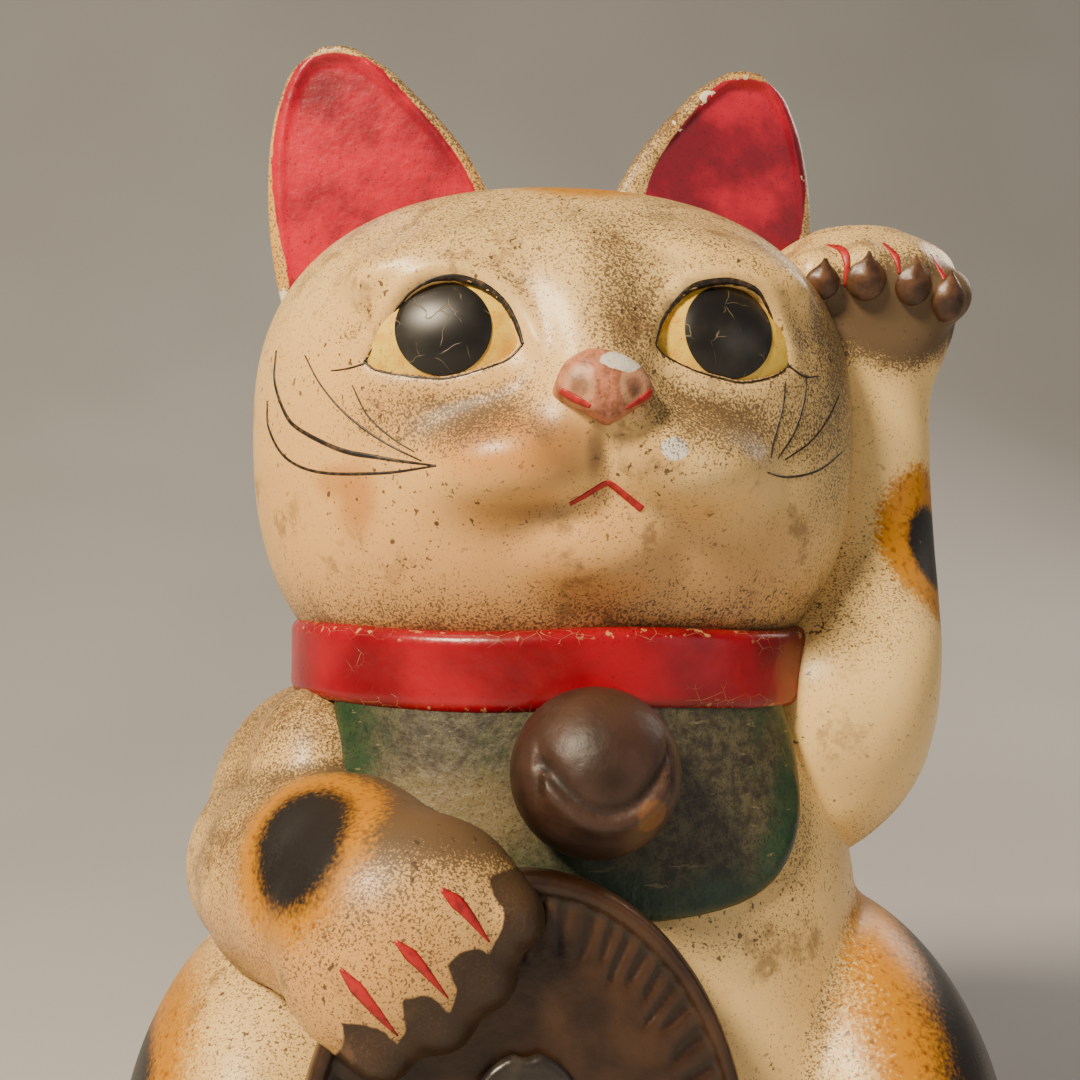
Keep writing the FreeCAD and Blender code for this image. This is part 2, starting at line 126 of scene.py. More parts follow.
def clay(name, shape, low, high, step=1.0, marks=None, crisp=False):
    """A closed mesh of a clay shape. marks are values kept at each vertex for its paint."""
    low = np.array(low, float)
    block = 8
    blocks = np.ceil((np.array(high) - low) / step / block).astype(int) + 1
    counts = blocks * block
    centres = np.stack(np.meshgrid(*[np.arange(n) for n in blocks], indexing="ij"), -1).reshape(-1, 3)
    first = shape(low + (centres * block + block / 2) * step).reshape(blocks)
    field = np.repeat(np.repeat(np.repeat(first, block, 0), block, 1), block, 2)
    split = field.reshape(blocks[0], block, blocks[1], block, blocks[2], block)
    close = np.argwhere(np.abs(first) < block * step * 1.5)
    inner = np.stack(np.meshgrid(*[np.arange(block)] * 3, indexing="ij"), -1).reshape(-1, 3)
    points = (close[:, None, :] * block + inner[None]).reshape(-1, 3) * step + low
    values = np.concatenate([shape(part) for part in np.array_split(points, max(1, len(points) // 200000))])
    split[close[:, 0], :, close[:, 1], :, close[:, 2], :] = values.reshape(-1, block, block, block)
    inside = field < 0
    corner = sum(
        inside[i:counts[0] - 1 + i, j:counts[1] - 1 + j, k:counts[2] - 1 + k].astype(np.int8)
        for i in (0, 1) for j in (0, 1) for k in (0, 1)
    )
    cell = (corner > 0) & (corner < 8)
    number = np.full(cell.shape, -1)
    number[cell] = np.arange(cell.sum())
    verts = low + (np.argwhere(cell) + 0.5) * step
    quads = []
    for axis in range(3):
        a, b = (axis + 1) % 3, (axis + 2) % 3
        lower, upper = [slice(1, -1)] * 3, [slice(1, -1)] * 3
        lower[axis], upper[axis] = slice(0, -1), slice(1, None)
        here = inside[tuple(lower)]
        change = np.argwhere(here != inside[tuple(upper)])
        at = change + 1
        at[:, axis] -= 1
        ring = []
        for da, db in ((-1, -1), (0, -1), (0, 0), (-1, 0)):
            spot = at.copy()
            spot[:, a] += da
            spot[:, b] += db
            ring.append(number[spot[:, 0], spot[:, 1], spot[:, 2]])
        quad = np.stack(ring, 1)
        solid = here[tuple(change.T)]
        quad[~solid] = quad[~solid][:, ::-1]
        quads.append(quad)
    quads = np.concatenate(quads)
    pairs = np.concatenate([quads[:, [i, (i + 1) % 4]] for i in range(4)])
    share = np.bincount(pairs[:, 0], minlength=len(verts))[:, None]
    for turn in range(5):
        rise = slopes_of(shape, verts)
        size = np.maximum((rise**2).sum(1), 0.05)
        move = np.clip(shape(verts) / size, -0.7 * step, 0.7 * step)
        verts = verts - rise * move[:, None]
        if turn < 3:
            mean = np.stack([np.bincount(pairs[:, 0], verts[pairs[:, 1], k], len(verts)) for k in range(3)],
                            1)
            verts = verts * 0.4 + mean / share * 0.6
    rise = slopes_of(shape, verts, 1.5)
    bend = -6 * shape(verts)
    for k in range(3):
        shift = np.zeros(3)
        shift[k] = 1.5
        bend += shape(verts + shift) + shape(verts - shift)
    mesh = bpy.data.meshes.new(name)
    mesh.from_pydata((verts / 1000).tolist(), [], quads.tolist())
    # hollow is 1 in concave places and edge on convex ones; the paints darken hollows with it, as soot and
    # painted shade.
    kept = {"hollow": np.clip(-bend / 2.25, 0, 1), "edge": np.clip(bend / 2.25 - 0.12, 0, 1)}
    for title, mark in (marks or {}).items():
        kept[title] = mark(verts)
    for title, value in kept.items():
        mesh.attributes.new(title, "FLOAT", "POINT").data.foreach_set("value", value.astype(np.float32))
    mesh.polygons.foreach_set("use_smooth", [True] * len(quads))
    mesh.update()
    if crisp:
        mesh.set_sharp_from_angle(angle=math.radians(40))
    piece = bpy.data.objects.new(name, mesh)
    bpy.context.collection.objects.link(piece)
    return piece


def place(piece, body, slot, *nodes):
    """Hands a piece to the frame: what it rides on, and the castings it stands for, which it hides. slot, its
    finish, is not used.
    """
    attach(piece, body)
    if nodes:
        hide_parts(*nodes)


class Finish:
    """A material being painted: short names for its shader nodes."""

    def __init__(self, name):
        self.material = bpy.data.materials.new(name)
        self.material.use_nodes = True
        self.tree = self.material.node_tree
        self.shader = self.tree.nodes["Principled BSDF"]
        self.place = self.scaled(self.add("ShaderNodeTexCoord").outputs["Object"], 1000.0)

    def add(self, kind, **settings):
        node = self.tree.nodes.new(kind)
        for key, value in settings.items():
            setattr(node, key, value)
        return node

    def feed(self, socket, value):
        if isinstance(value, bpy.types.NodeSocket):
            self.tree.links.new(value, socket)
        elif isinstance(value, (tuple, list)) and len(value) == 3 and socket.type == "RGBA":
            socket.default_value = (*value, 1.0)
        else:
            socket.default_value = value

    def calc(self, operation, a, b=0.0, clamp=False):
        node = self.add("ShaderNodeMath", operation=operation, use_clamp=clamp)
        self.feed(node.inputs[0], a)
        self.feed(node.inputs[1], b)
        return node.outputs[0]

    def vector(self, operation, a, b=(0, 0, 0)):
        node = self.add("ShaderNodeVectorMath", operation=operation)
        self.feed(node.inputs[0], a)
        self.feed(node.inputs[1], b)
        return node.outputs["Value" if operation in ("LENGTH", "DOT_PRODUCT", "DISTANCE") else "Vector"]

    def scaled(self, a, factor):
        node = self.add("ShaderNodeVectorMath", operation="SCALE")
        self.feed(node.inputs[0], a)
        node.inputs["Scale"].default_value = factor
        return node.outputs["Vector"]

    def noise(self, scale, detail=3.0, rough=0.5, where=None, stretch=None):
        node = self.add("ShaderNodeTexNoise")
        spot = where or self.place
        if stretch:
            spot = self.vector("MULTIPLY", spot, stretch)
        self.feed(node.inputs["Vector"], spot)
        node.inputs["Scale"].default_value = scale
        node.inputs["Detail"].default_value = detail
        node.inputs["Roughness"].default_value = rough
        return node.outputs["Fac"]

    def fade(self, value, start, end, low=0.0, high=1.0):
        """A smooth step of value from start to end."""
        node = self.add("ShaderNodeMapRange", interpolation_type="SMOOTHSTEP")
        for socket, number in zip(("Value", "From Min", "From Max", "To Min", "To Max"),
                                  (value, start, end, low, high)):
            self.feed(node.inputs[socket], number)
        return node.outputs["Result"]

    def mix(self, share, a, b):
        node = self.add("ShaderNodeMix", data_type="RGBA")
        self.feed(node.inputs["Factor"], share)
        self.feed(node.inputs["A"], a)
        self.feed(node.inputs["B"], b)
        return node.outputs["Result"]

    def mark(self, title):
        node = self.add("ShaderNodeAttribute", attribute_name=title)
        return node.outputs["Fac"]

    def away(self, centre, reach, wobble=0.0, grain=0.15):
        """1 at the edge of an oval spot, less inside; wobble makes the edge uneven."""
        shift = self.vector("SUBTRACT", self.place, centre)
        out = self.vector("LENGTH", self.vector("DIVIDE", shift, reach))
        if wobble:
            ragged = self.calc("MULTIPLY", self.calc("SUBTRACT", self.noise(grain, 4.0, 0.6), 0.5),
                               2 * wobble)
            out = self.calc("ADD", out, ragged)
        return out

    def group(self, kind, **values):
        node = self.add("ShaderNodeGroup")
        node.node_tree = bpy.data.node_groups[kind]
        for title, value in values.items():
            self.feed(node.inputs[title.replace("_", " ")], value)
        return node

    def mottled(self, grain, span, first, second):
        """Two shades of one paint, the second in cloudy patches over the first."""
        return self.mix(self.fade(self.noise(*grain), *span), first, second)

    def sooted(self, **values):
        """A clean paint under the shared film of soot."""
        return self.group("soot film", Place=self.place, **values)

    def aged(self, **values):
        """A paint with the shared scratches, pinholes and chips."""
        return self.group("age marks", Place=self.place, **values)

    def height_of(self, vector):
        """The upward part of a direction or a place."""
        part = self.add("ShaderNodeSeparateXYZ")
        self.feed(part.inputs[0], vector)
        return part.outputs["Z"]

    def done(self, colour, rough, height=None, depth=0.15):
        self.feed(self.shader.inputs["Base Color"], colour)
        self.feed(self.shader.inputs["Roughness"], rough)
        if height is not None:
            bump = self.add("ShaderNodeBump")
            bump.inputs["Strength"].default_value = 0.5
            bump.inputs["Distance"].default_value = depth / 1000
            self.feed(bump.inputs["Height"], height)
            self.tree.links.new(bump.outputs["Normal"], self.shader.inputs["Normal"])
        return self.material


def new_group(name, inputs, outputs):
    """An empty effect shared by several finishes, with named inputs and outputs."""
    tree = bpy.data.node_groups.new(name, "ShaderNodeTree")
    for title, kind, value in inputs:
        socket = tree.interface.new_socket(title, in_out="INPUT", socket_type="NodeSocket" + kind)
        if value is not None:
            socket.default_value = value
    for title, kind in outputs:
        tree.interface.new_socket(title, in_out="OUTPUT", socket_type="NodeSocket" + kind)
    maker = Finish.__new__(Finish)
    maker.tree = tree
    maker.source = tree.nodes.new("NodeGroupInput").outputs
    maker.result = tree.nodes.new("NodeGroupOutput").inputs
    maker.place = maker.source["Place"]
    return maker


def linear(red, green, blue):
    """A paint colour from its everyday 0 to 255 values."""
    return tuple(
        ((v / 255 + 0.055) / 1.055) ** 2.4 if v > 10 else v / 255 / 12.92 for v in (red, green, blue)
    )


# Soot: a grey-brown film made of fine grains, heaviest where Amount is high; fed with hollows, undersides or
# the shaded side, it is painted shade too.
soot = new_group(
    "soot film",
    [("Place", "Vector", None), ("Clean", "Color", None), ("Film", "Color", None), ("Amount", "Float", 0.3),
     ("Grain", "Float", 1.0)],
    [("Color", "Color"), ("Mask", "Float")],
)
cloud = soot.noise(0.06, 3.0, 0.55)
dense = soot.calc("ADD", soot.source["Amount"],
                  soot.calc("MULTIPLY", soot.calc("SUBTRACT", cloud, 0.5), 0.55))
fine = soot.noise(2.5, 2.5, 0.7)
level = soot.calc("SUBTRACT", 0.655, soot.calc("MULTIPLY", dense, 0.235))
grains = soot.fade(soot.calc("SUBTRACT", fine, level), -0.03, 0.06)
grains = soot.calc("MULTIPLY", grains, soot.calc("MULTIPLY", soot.source["Grain"], 0.85), clamp=True)
veil = soot.fade(dense, 0.08, 1.5, 0.0, 0.72)
veiled = soot.mix(veil, soot.source["Clean"], soot.source["Film"])
darker = soot.mix(0.62, soot.source["Film"], (0.02, 0.014, 0.009))
soot.feed(soot.result["Color"], soot.mix(grains, veiled, darker))
soot.feed(soot.result["Mask"], soot.calc("MAXIMUM", veil, grains, clamp=True))

# Age marks: hairline scratches, dark pinholes and small chips down to the white ground.
age = new_group(
    "age marks",
    [("Place", "Vector", None), ("Color", "Color", None), ("Pinholes", "Float", 0.5),
     ("Chips", "Float", 0.0)],
    [("Color", "Color"), ("Height", "Float")],
)
cells = age.add("ShaderNodeTexVoronoi", feature="F1")
age.feed(cells.inputs["Vector"], age.place)
cells.inputs["Scale"].default_value = 0.23
dot = age.fade(cells.outputs["Distance"], 0.06, 0.11, 1.0, 0.0)
patchy = age.fade(age.noise(0.05, 2.0), 0.47, 0.62)
holes = age.calc("MULTIPLY", age.calc("MULTIPLY", dot, patchy), age.source["Pinholes"])
bits = age.noise(0.33, 5.0, 0.7)
limit = age.calc("SUBTRACT", 0.86, age.calc("MULTIPLY", age.source["Chips"], 0.35))
chips = age.fade(age.calc("SUBTRACT", bits, limit), 0.0, 0.01)
darker = age.mix(holes, age.source["Color"], linear(52, 36, 24))
age.feed(age.result["Color"], age.mix(chips, darker, linear(236, 226, 205)))
age.feed(age.result["Height"], age.calc("SUBTRACT", 0.0, age.calc("ADD", chips, holes)))

CREAM = linear(252, 214, 140)
WARM_CREAM = linear(236, 178, 92)
SOOT_BROWN = linear(116, 90, 62)
ORANGE = linear(196, 130, 0)
SPOT_BLACK = linear(30, 25, 21)


def cream_paint(name, amount, patches=(), warm=0.35, pinholes=0.5, extra=None, last=None):
    """The cat's cream coat. amount(finish) gives the soot and, in places, painted shade; hollows get soot and
    painted shade; patches are airbrushed orange and black.
    """
    coat = Finish(name)
    tone = coat.calc("MULTIPLY", coat.fade(coat.noise(0.03, 3.0), 0.35, 0.75), warm)
    colour = coat.mix(tone, CREAM, WARM_CREAM)
    if extra:
        colour = extra(coat, colour)
    # soot from amount, and soot with painted shade in the hollows
    soot_and_shade = coat.calc("ADD", amount(coat), coat.calc("MULTIPLY", coat.mark("hollow"), 1.1))
    film = coat.sooted(Clean=colour, Film=SOOT_BROWN, Amount=soot_and_shade)
    colour = film.outputs["Color"]
    smear = coat.calc("MULTIPLY", coat.fade(coat.noise(0.13, 5.0, 0.7), 0.52, 0.66, 0.0, 0.6),
                      coat.fade(coat.noise(0.03, 2.0), 0.4, 0.56))
    colour = coat.mix(smear, colour, linear(112, 82, 52))
    pepper = coat.calc("MULTIPLY", coat.fade(coat.noise(0.9, 2.0), 0.65, 0.69, 0.0, 0.85),
                       coat.fade(coat.noise(0.05, 2.0), 0.42, 0.56))
    colour = coat.mix(pepper, colour, linear(66, 46, 30))
    speck = coat.calc("MULTIPLY", coat.calc("SUBTRACT", coat.noise(1.6, 2.0), 0.5), 0.5)
    for centre, reach, core, soft in patches:
        edge = coat.calc("ADD", coat.away(centre, reach, 0.12, 0.12), speck)
        ring = coat.fade(edge, 1.0 + soft, 1.0 - soft)
        shade = coat.mottled((0.9, 3.0), (0.5, 0.72, 0.0, 0.7), ORANGE, linear(128, 66, 4))
        colour = coat.mix(ring, colour, shade)
        if core:
            heart = coat.fade(coat.calc("ADD", coat.away(centre, core, 0.1, 0.1),
                                        coat.calc("MULTIPLY", speck, 0.6)), 1.14, 0.84)
            colour = coat.mix(heart, colour, SPOT_BLACK)
    if last:
        colour = last(coat, colour)
    worn = coat.aged(Color=colour, Pinholes=pinholes, Chips=0.25)
    rough = coat.fade(film.outputs["Mask"], 0.0, 1.0, 0.37, 0.54)
    relief = coat.calc("ADD", worn.outputs["Height"], coat.calc("MULTIPLY", coat.noise(0.8, 3.0), 0.35))
    return coat.done(worn.outputs["Color"], rough, relief, 0.25)


def facing_up(coat, low, high, most):
    """Soot that settles on what faces upwards."""
    normal = coat.add("ShaderNodeNewGeometry").outputs["Normal"]
    return coat.fade(coat.height_of(normal), low, high, 0.0, most)


TORSO = [
    (-6.0, 51.0, 46.0, 45.0, 2.4),
    (0.0, 54.0, 49.0, 48.0, 2.4),
    (12.0, 58.0, 52.0, 52.0, 2.4),
    (35.0, 57.0, 52.0, 54.0, 2.3),
    (65.0, 54.0, 49.0, 51.0, 2.3),
    (90.0, 51.0, 45.0, 45.0, 2.3),
    (107.0, 46.0, 42.0, 40.0, 2.2),
    (120.0, 42.0, 40.0, 37.0, 2.2),
]
BODY_TOP = 120.0
WALL = 4.5
CHAMBER_FLOOR = 10.0
CHAMBER_ROOF = 112.0
BASE_HOLLOW = (45.0, 40.0, 39.0, 2.4)
BASE_HOLLOW_TOP = 5.0
HOLE_Y = 2.0
HOLE_RADIUS = 17.0
HOLE_TOP = 14.0
SLOT_Z = 98.0
SLOT_HALF_LONG = 15.6
SLOT_HALF_TALL = 2.4
SLOT_START_Y = 20.0


def torso(p):
    return stack(p, TORSO)


def haunch(p, side, shrink=0.0):
    reach = (27.5 - shrink, 47.0 - shrink, 42.0 - shrink)
    return oval(p, (side * 45.0, -8.0, 37.5), reach, [("Z", side * 8.0)])


def body_form(p):
    lump = torso(p)
    for side in (-1, 1):
        lump = join(lump, haunch(p, side), 3.0)
    hollow = torso(p) + WALL
    for side in (-1, 1):
        hollow = join(hollow, haunch(p, side, WALL), 3.0)
    hollow = np.maximum(hollow, np.maximum(CHAMBER_FLOOR - p[:, 2], p[:, 2] - CHAMBER_ROOF))
    lump = carve(lump, hollow, 1.0)
    sunk = np.maximum(stack(p, [(-6.0, *BASE_HOLLOW), (6.0, *BASE_HOLLOW)]), p[:, 2] - BASE_HOLLOW_TOP)
    lump = carve(lump, sunk, 0.8)
    hole = np.maximum(np.hypot(p[:, 0], p[:, 1] - HOLE_Y) - HOLE_RADIUS, p[:, 2] - HOLE_TOP)
    lump = carve(lump, hole, 0.5)
    across = np.maximum(np.abs(p[:, 0]) - SLOT_HALF_LONG, 0)
    slot = np.maximum(np.hypot(across, p[:, 2] - SLOT_Z) - SLOT_HALF_TALL, SLOT_START_Y - p[:, 1])
    lump = carve(lump, slot, 0.7)
    return np.maximum(lump, np.maximum(-p[:, 2], p[:, 2] - BODY_TOP))


def body_amount(coat):
    """Soot on the shoulders and beside the bib, and a light haze lower down."""
    total = coat.calc("ADD", facing_up(coat, -0.1, 0.95, 0.45), 0.06)
    for centre, reach, most in (
        ((-38.0, -26.0, 108.0), (14.0, 16.0, 16.0), 0.7),
        ((34.0, -30.0, 92.0), (7.0, 16.0, 14.0), 0.35),
        ((22.0, -46.0, 80.0), (20.0, 12.0, 4.0), 0.25),
    ):
        total = coat.calc("ADD", total, coat.fade(coat.away(centre, reach, 0.12, 0.1), 1.4, 0.2, 0.0, most))
    return total


body = clay("body", body_form, (-78, -62, -3), (78, 62, 123), 1.3, crisp=True)
body.data.materials.append(
    cream_paint(
        "cream body paint",
        body_amount,
        patches=[
            ((68.0, -22.0, 48.0), (32.0, 48.0, 42.0), (23.5, 38.0, 31.0), 0.09),
            ((-70.0, -22.0, 44.0), (17.0, 34.0, 34.0), (10.0, 24.0, 20.0), 0.2),
            ((30.0, 50.0, 70.0), (22.0, 20.0, 17.0), (13.0, 20.0, 9.0), 0.2),
            ((-26.0, 52.0, 36.0), (18.0, 20.0, 22.0), (10.0, 20.0, 13.0), 0.2),
        ],
    )
)
place(body, "cat", "painted_clay", "body_casting")

# ---- head casting ----------------------------------------------------------------------------
# The hollow head with its brow, cheeks and muzzle, cast apart and luted to the neck. The eyes sit
# in almond openings whose lids stand a little proud.


def smooth_line(points, closed=False, count=12):
    """A rounded line through points, as a list of many points."""
    pts = np.array(points, float)
    n = len(pts)
    out = []
    for i in range(n if closed else n - 1):
        a, b = pts[i], pts[(i + 1) % n]
        before = pts[i - 1] if closed or i else 2 * a - b
        after = pts[(i + 2) % n] if closed or i < n - 2 else 2 * b - a
        for t in np.arange(count) / count:
            out.append(
                0.5 * ((2 * a) + (b - before) * t + (2 * before - 5 * a + 4 * b - after) * t * t
                       + (3 * a - before - 3 * b + after) * t**3)
            )
    if not closed:
        out.append(pts[-1])
    return np.array(out)


def outline(xz, loop):
    """Distance to a closed line drawn on the front: less than 0 inside it."""
    best = np.full(len(xz), 1e9)
    inside = np.zeros(len(xz), bool)
    for a, b in zip(loop, np.roll(loop, -1, 0)):
        along = b - a
        share = np.clip((xz - a) @ along / max(along @ along, 1e-9), 0, 1)
        best = np.minimum(best, np.linalg.norm(xz - a - share[:, None] * along, axis=1))
        cross = (a[1] > xz[:, 1]) != (b[1] > xz[:, 1])
        with np.errstate(divide="ignore", invalid="ignore"):
            at = a[0] + (xz[:, 1] - a[1]) * (b[0] - a[0]) / (b[1] - a[1])
        inside ^= cross & (xz[:, 0] < at)
    return np.where(inside, -best, best)


UPPER_LID = {
    "right": [(-33.6, 166.9), (-31.7, 169.8), (-29.1, 174.0), (-26.8, 176.7), (-24.1, 178.3), (-21.2, 178.8),
              (-18.6, 178.4), (-15.8, 177.1), (-13.3, 174.8), (-11.7, 171.7), (-10.9, 168.9)],
    "left": [(31.6, 167.2), (30.5, 169.8), (29.3, 172.8), (27.9, 175.7), (25.9, 178.1), (22.8, 179.1),
             (19.7, 179.1), (15.9, 178.1), (13.1, 175.8), (10.8, 172.7), (9.5, 169.1)],
}
LOWER_LID = {
    "right": [(-10.9, 168.9), (-13.0, 166.8), (-16.4, 165.5), (-19.5, 164.6), (-22.5, 164.1), (-26.9, 164.5),
              (-30.2, 165.1), (-32.1, 165.7), (-33.6, 166.9)],
    "left": [(9.5, 169.1), (10.6, 167.9), (13.1, 166.6), (16.3, 165.4), (19.6, 164.7), (23.1, 164.2),
             (26.7, 164.8), (29.6, 165.8), (31.6, 167.2)],
}
EYE_LOOP = {
    side: np.concatenate([smooth_line(UPPER_LID[side], count=4)[:-1],
                          smooth_line(LOWER_LID[side], count=4)[:-1]])
    for side in ("right", "left")
}
EYE_SIGN = {"right": -1, "left": 1}
HEAD_MIDDLE = np.array([0.0, 0.0, 158.0])


def head_oval(p, swell=0.0):
    """The plain rounded head, before its features."""
    q = p - HEAD_MIDDLE
    front = np.where(q[:, 1] < 0, 47.0, 44.0) + swell
    tall = np.where(q[:, 2] > 0, 42.4, 50.0) + swell
    level = (np.abs(q[:, 0] / (52.5 + swell)) ** 2.2 + np.abs(q[:, 1] / front) ** 2.2) ** (1 / 2.2)
    whole = (level**2.5 + np.abs(q[:, 2] / tall) ** 2.5) ** 0.4
    out = np.linalg.norm(q, axis=1)
    return out - out / np.maximum(whole, 1e-6)


def head_form(p):
    lump = head_oval(p)
    face = p[:, 1] < -15
    f = p[face]
    skin = lump[face]
    for s in (-1, 1):
        skin = carve(skin, oval(f, (s * 11.0, -51.0, 172.0), (6.0, 5.5, 9.0), [("Y", s * 14.0)]), 6.0)
        skin = carve(skin, oval(f, (s * 26.0, -50.0, 160.5), (13.0, 4.0, 5.0)), 7.0)
        skin = join(skin, oval(f, (s * 22.0, -34.5, 182.0), (14.0, 6.5, 4.5), [("Y", s * 12.0)]), 6.0)
    puffs = join(*[oval(f, (s * 11.4 + 0.9, -40.6, 151.4), (15.2, 12.7, 8.6),
                        [("Y", s * 8.0), ("Z", s * 12.0)]) for s in (-1, 1)], 0.9)
    skin = join(skin, puffs, 5.2)
    skin = join(skin, roll(f, (0, -45.5, 161.0), (0, -35.0, 179.0), 7.2, 7.0), 7.0)
    skin = join(skin, oval(f, (0.8, -40.5, 138.8), (11.0, 9.0, 6.8)), 4.5)
    for s in (-1, 1):
        skin = carve(skin, roll(f, (s * 4.4 + 1.0, -54.0, 144.2), (s * 12.0 + 1.0, -50.8, 140.2), 1.2, 0.4),
                     3.0)
    skin = carve(skin, roll(f, (0.6, -57.0, 158.0), (1.3, -55.2, 148.5), 1.5, 1.4), 1.4)
    for a, b in (((1.3, 148.0), (-4.3, 144.8)), ((1.3, 148.0), (6.6, 144.4))):
        skin = carve(skin, roll(f, (a[0], -54.4, a[1]), (b[0], -52.6, b[1]), 1.2, 0.9), 1.6)
    flat = f[:, [0, 2]]
    for side, loop in EYE_LOOP.items():
        near = (
            (np.abs(flat[:, 0] - EYE_SIGN[side] * 22) < 18)
            & (np.abs(flat[:, 1] - 171.5) < 14)
            & (f[:, 1] < -25)
        )
        gap = outline(flat[near], loop)
        lid = 0.75 * np.exp(-((gap - 1.9) / 1.5) ** 2)
        upper = np.clip((flat[near][:, 1] - 165.5) / 4, 0.35, 1)
        sink = np.clip(-gap / 0.7, 0, 1)
        skin[near] += sink * sink * (3 - 2 * sink) * 3.2 - lid * upper
    lump[face] = skin
    return np.maximum(lump, 119.0 - p[:, 2])


def face_amount(coat):
    """Soot on the head: on the crown, between the eyes and under them; painted shade over the cat's left side
    of the head, and soot with painted shade under the chin, growing from z 140 down to z 120.
    """
    total = coat.calc("ADD", facing_up(coat, -0.2, 0.95, 0.5), 0.06)
    for centre, reach, most in (
        ((5.0, -46.0, 174.0), (6.5, 20.0, 14.0), 0.5),
        ((-25.0, -44.0, 158.5), (18.0, 14.0, 6.5), 0.55),
        ((24.0, -42.0, 158.5), (18.0, 16.0, 7.5), 0.6),
        # painted shade over the cat's left side of the head
        ((46.0, -20.0, 164.0), (19.0, 28.0, 26.0), 0.75),
        ((13.0, -48.0, 151.5), (7.0, 12.0, 5.0), 0.35),
    ):
        total = coat.calc("ADD", total, coat.fade(coat.away(centre, reach, 0.12, 0.1), 1.5, 0.1, 0.0, most))
    # soot and painted shade under the chin: darker from z 140 down to z 120
    return coat.calc("ADD", total, coat.fade(coat.height_of(coat.place), 140.0, 120.0, 0.0, 0.95))


def face_stains(coat, colour):
    """A warm yellow wash over the left cheek, yellowed varnish and painted shade under the chin, painted
    shade in the crease beside the philtrum and under the left puff, amber stains and a filled chip.
    """
    for centre, reach, shade, most in (
        ((-30.0, -30.0, 146.0), (42.0, 40.0, 36.0), linear(238, 180, 102), 0.85),
        # yellowed varnish and painted shade under the chin
        ((6.0, -40.0, 130.0), (46.0, 40.0, 18.0), linear(208, 150, 88), 0.75),
        ((-12.5, -50.0, 153.5), (13.0, 12.0, 7.0), linear(208, 132, 56), 0.75),
        ((-6.0, -52.0, 154.0), (5.5, 8.0, 5.5), linear(134, 92, 52), 0.6),
        ((-35.0, -38.0, 146.0), (3.5, 12.0, 7.0), linear(200, 128, 58), 0.75),
        ((-38.5, -36.0, 149.0), (3.5, 12.0, 3.0), linear(204, 136, 66), 0.7),
        ((8.0, -50.0, 151.5), (5.0, 8.0, 4.0), linear(150, 110, 64), 0.5),
        # painted shade: a dark line in the crease left of the philtrum, then a dark band under the left puff
        ((-0.9, -54.0, 152.6), (1.7, 8.0, 5.0), linear(108, 80, 54), 0.7),
        ((-8.0, -52.0, 144.0), (9.0, 8.0, 2.0), linear(146, 112, 74), 0.6),
    ):
        blot = coat.fade(coat.away(centre, reach, 0.16, 0.16), 1.3, 0.35, 0.0, most)
        colour = coat.mix(blot, colour, shade)
    filled = coat.away((10.4, -53.0, 153.2), (2.1, 4.0, 1.8), 0.2, 0.35)
    return coat.mix(coat.fade(filled, 1.05, 0.9), colour, linear(236, 230, 214))


head = clay("head", head_form, (-57, -62, 117), (57, 48, 205), 0.85)
head.data.materials.append(
    cream_paint("cream head paint", face_amount, [((1.5, -22.0, 198.5), (10.0, 16.0, 4.2), None, 0.45)],
                pinholes=0.9, extra=face_stains)
)
place(head, "cat", "painted_clay", "head_casting")

# ---- eyes ------------------------------------------------------------------------------------
# Domed clay almonds behind the lids, painted yellow, with a thick black pupil that has crazed into
# fine pale cracks under its gloss.


def thick_sheet(name, top, faces, under, thick):
    """A closed thin sheet: top points in mm, and the same points moved back by thick."""
    top = np.array(top, float)
    back = top + np.array(under) * thick
    count = len(top)
    mesh = bpy.data.meshes.new(name)
    sides, edges = [], {}
    for face in faces:
        for a, b in zip(face, list(face[1:]) + [face[0]]):
            if (b, a) in edges:
                del edges[(b, a)]
            else:
                edges[(a, b)] = True
    for a, b in edges:
        sides.append((b, a, a + count, b + count))
    lower = [tuple(v + count for v in reversed(face)) for face in faces]
    mesh.from_pydata((np.concatenate([top, back]) / 1000).tolist(), [],
                     [tuple(f) for f in faces] + lower + sides)
    mesh.polygons.foreach_set("use_smooth", [True] * len(mesh.polygons))
    mesh.update()
    mesh.set_sharp_from_angle(angle=math.radians(50))
    piece = bpy.data.objects.new(name, mesh)
    bpy.context.collection.objects.link(piece)
    return piece


def disc_faces(rings, spokes):
    """Faces of a disc: a middle point, then rings of points."""
    faces = [(0, 1 + i, 1 + (i + 1) % spokes) for i in range(spokes)]
    for r in range(rings - 1):
        for i in range(spokes):
            a, b = 1 + r * spokes + i, 1 + r * spokes + (i + 1) % spokes
            faces.append((a, a + spokes, b + spokes, b))
    return faces


PUPIL = {"right": ((-22.25, 171.5), (7.1, 7.2)), "left": ((21.3, 171.75), (7.25, 7.35))}
eye_yellow = Finish("yellow eye paint")
tint = eye_yellow.mottled((0.35, 5.0, 0.65), (0.38, 0.7), linear(246, 208, 84), linear(230, 174, 56))
film = eye_yellow.sooted(Clean=tint, Film=linear(140, 100, 50), Amount=0.12, Grain=0.8)
eye_yellow.done(film.outputs["Color"], 0.3, eye_yellow.noise(0.7, 3.0), 0.1)

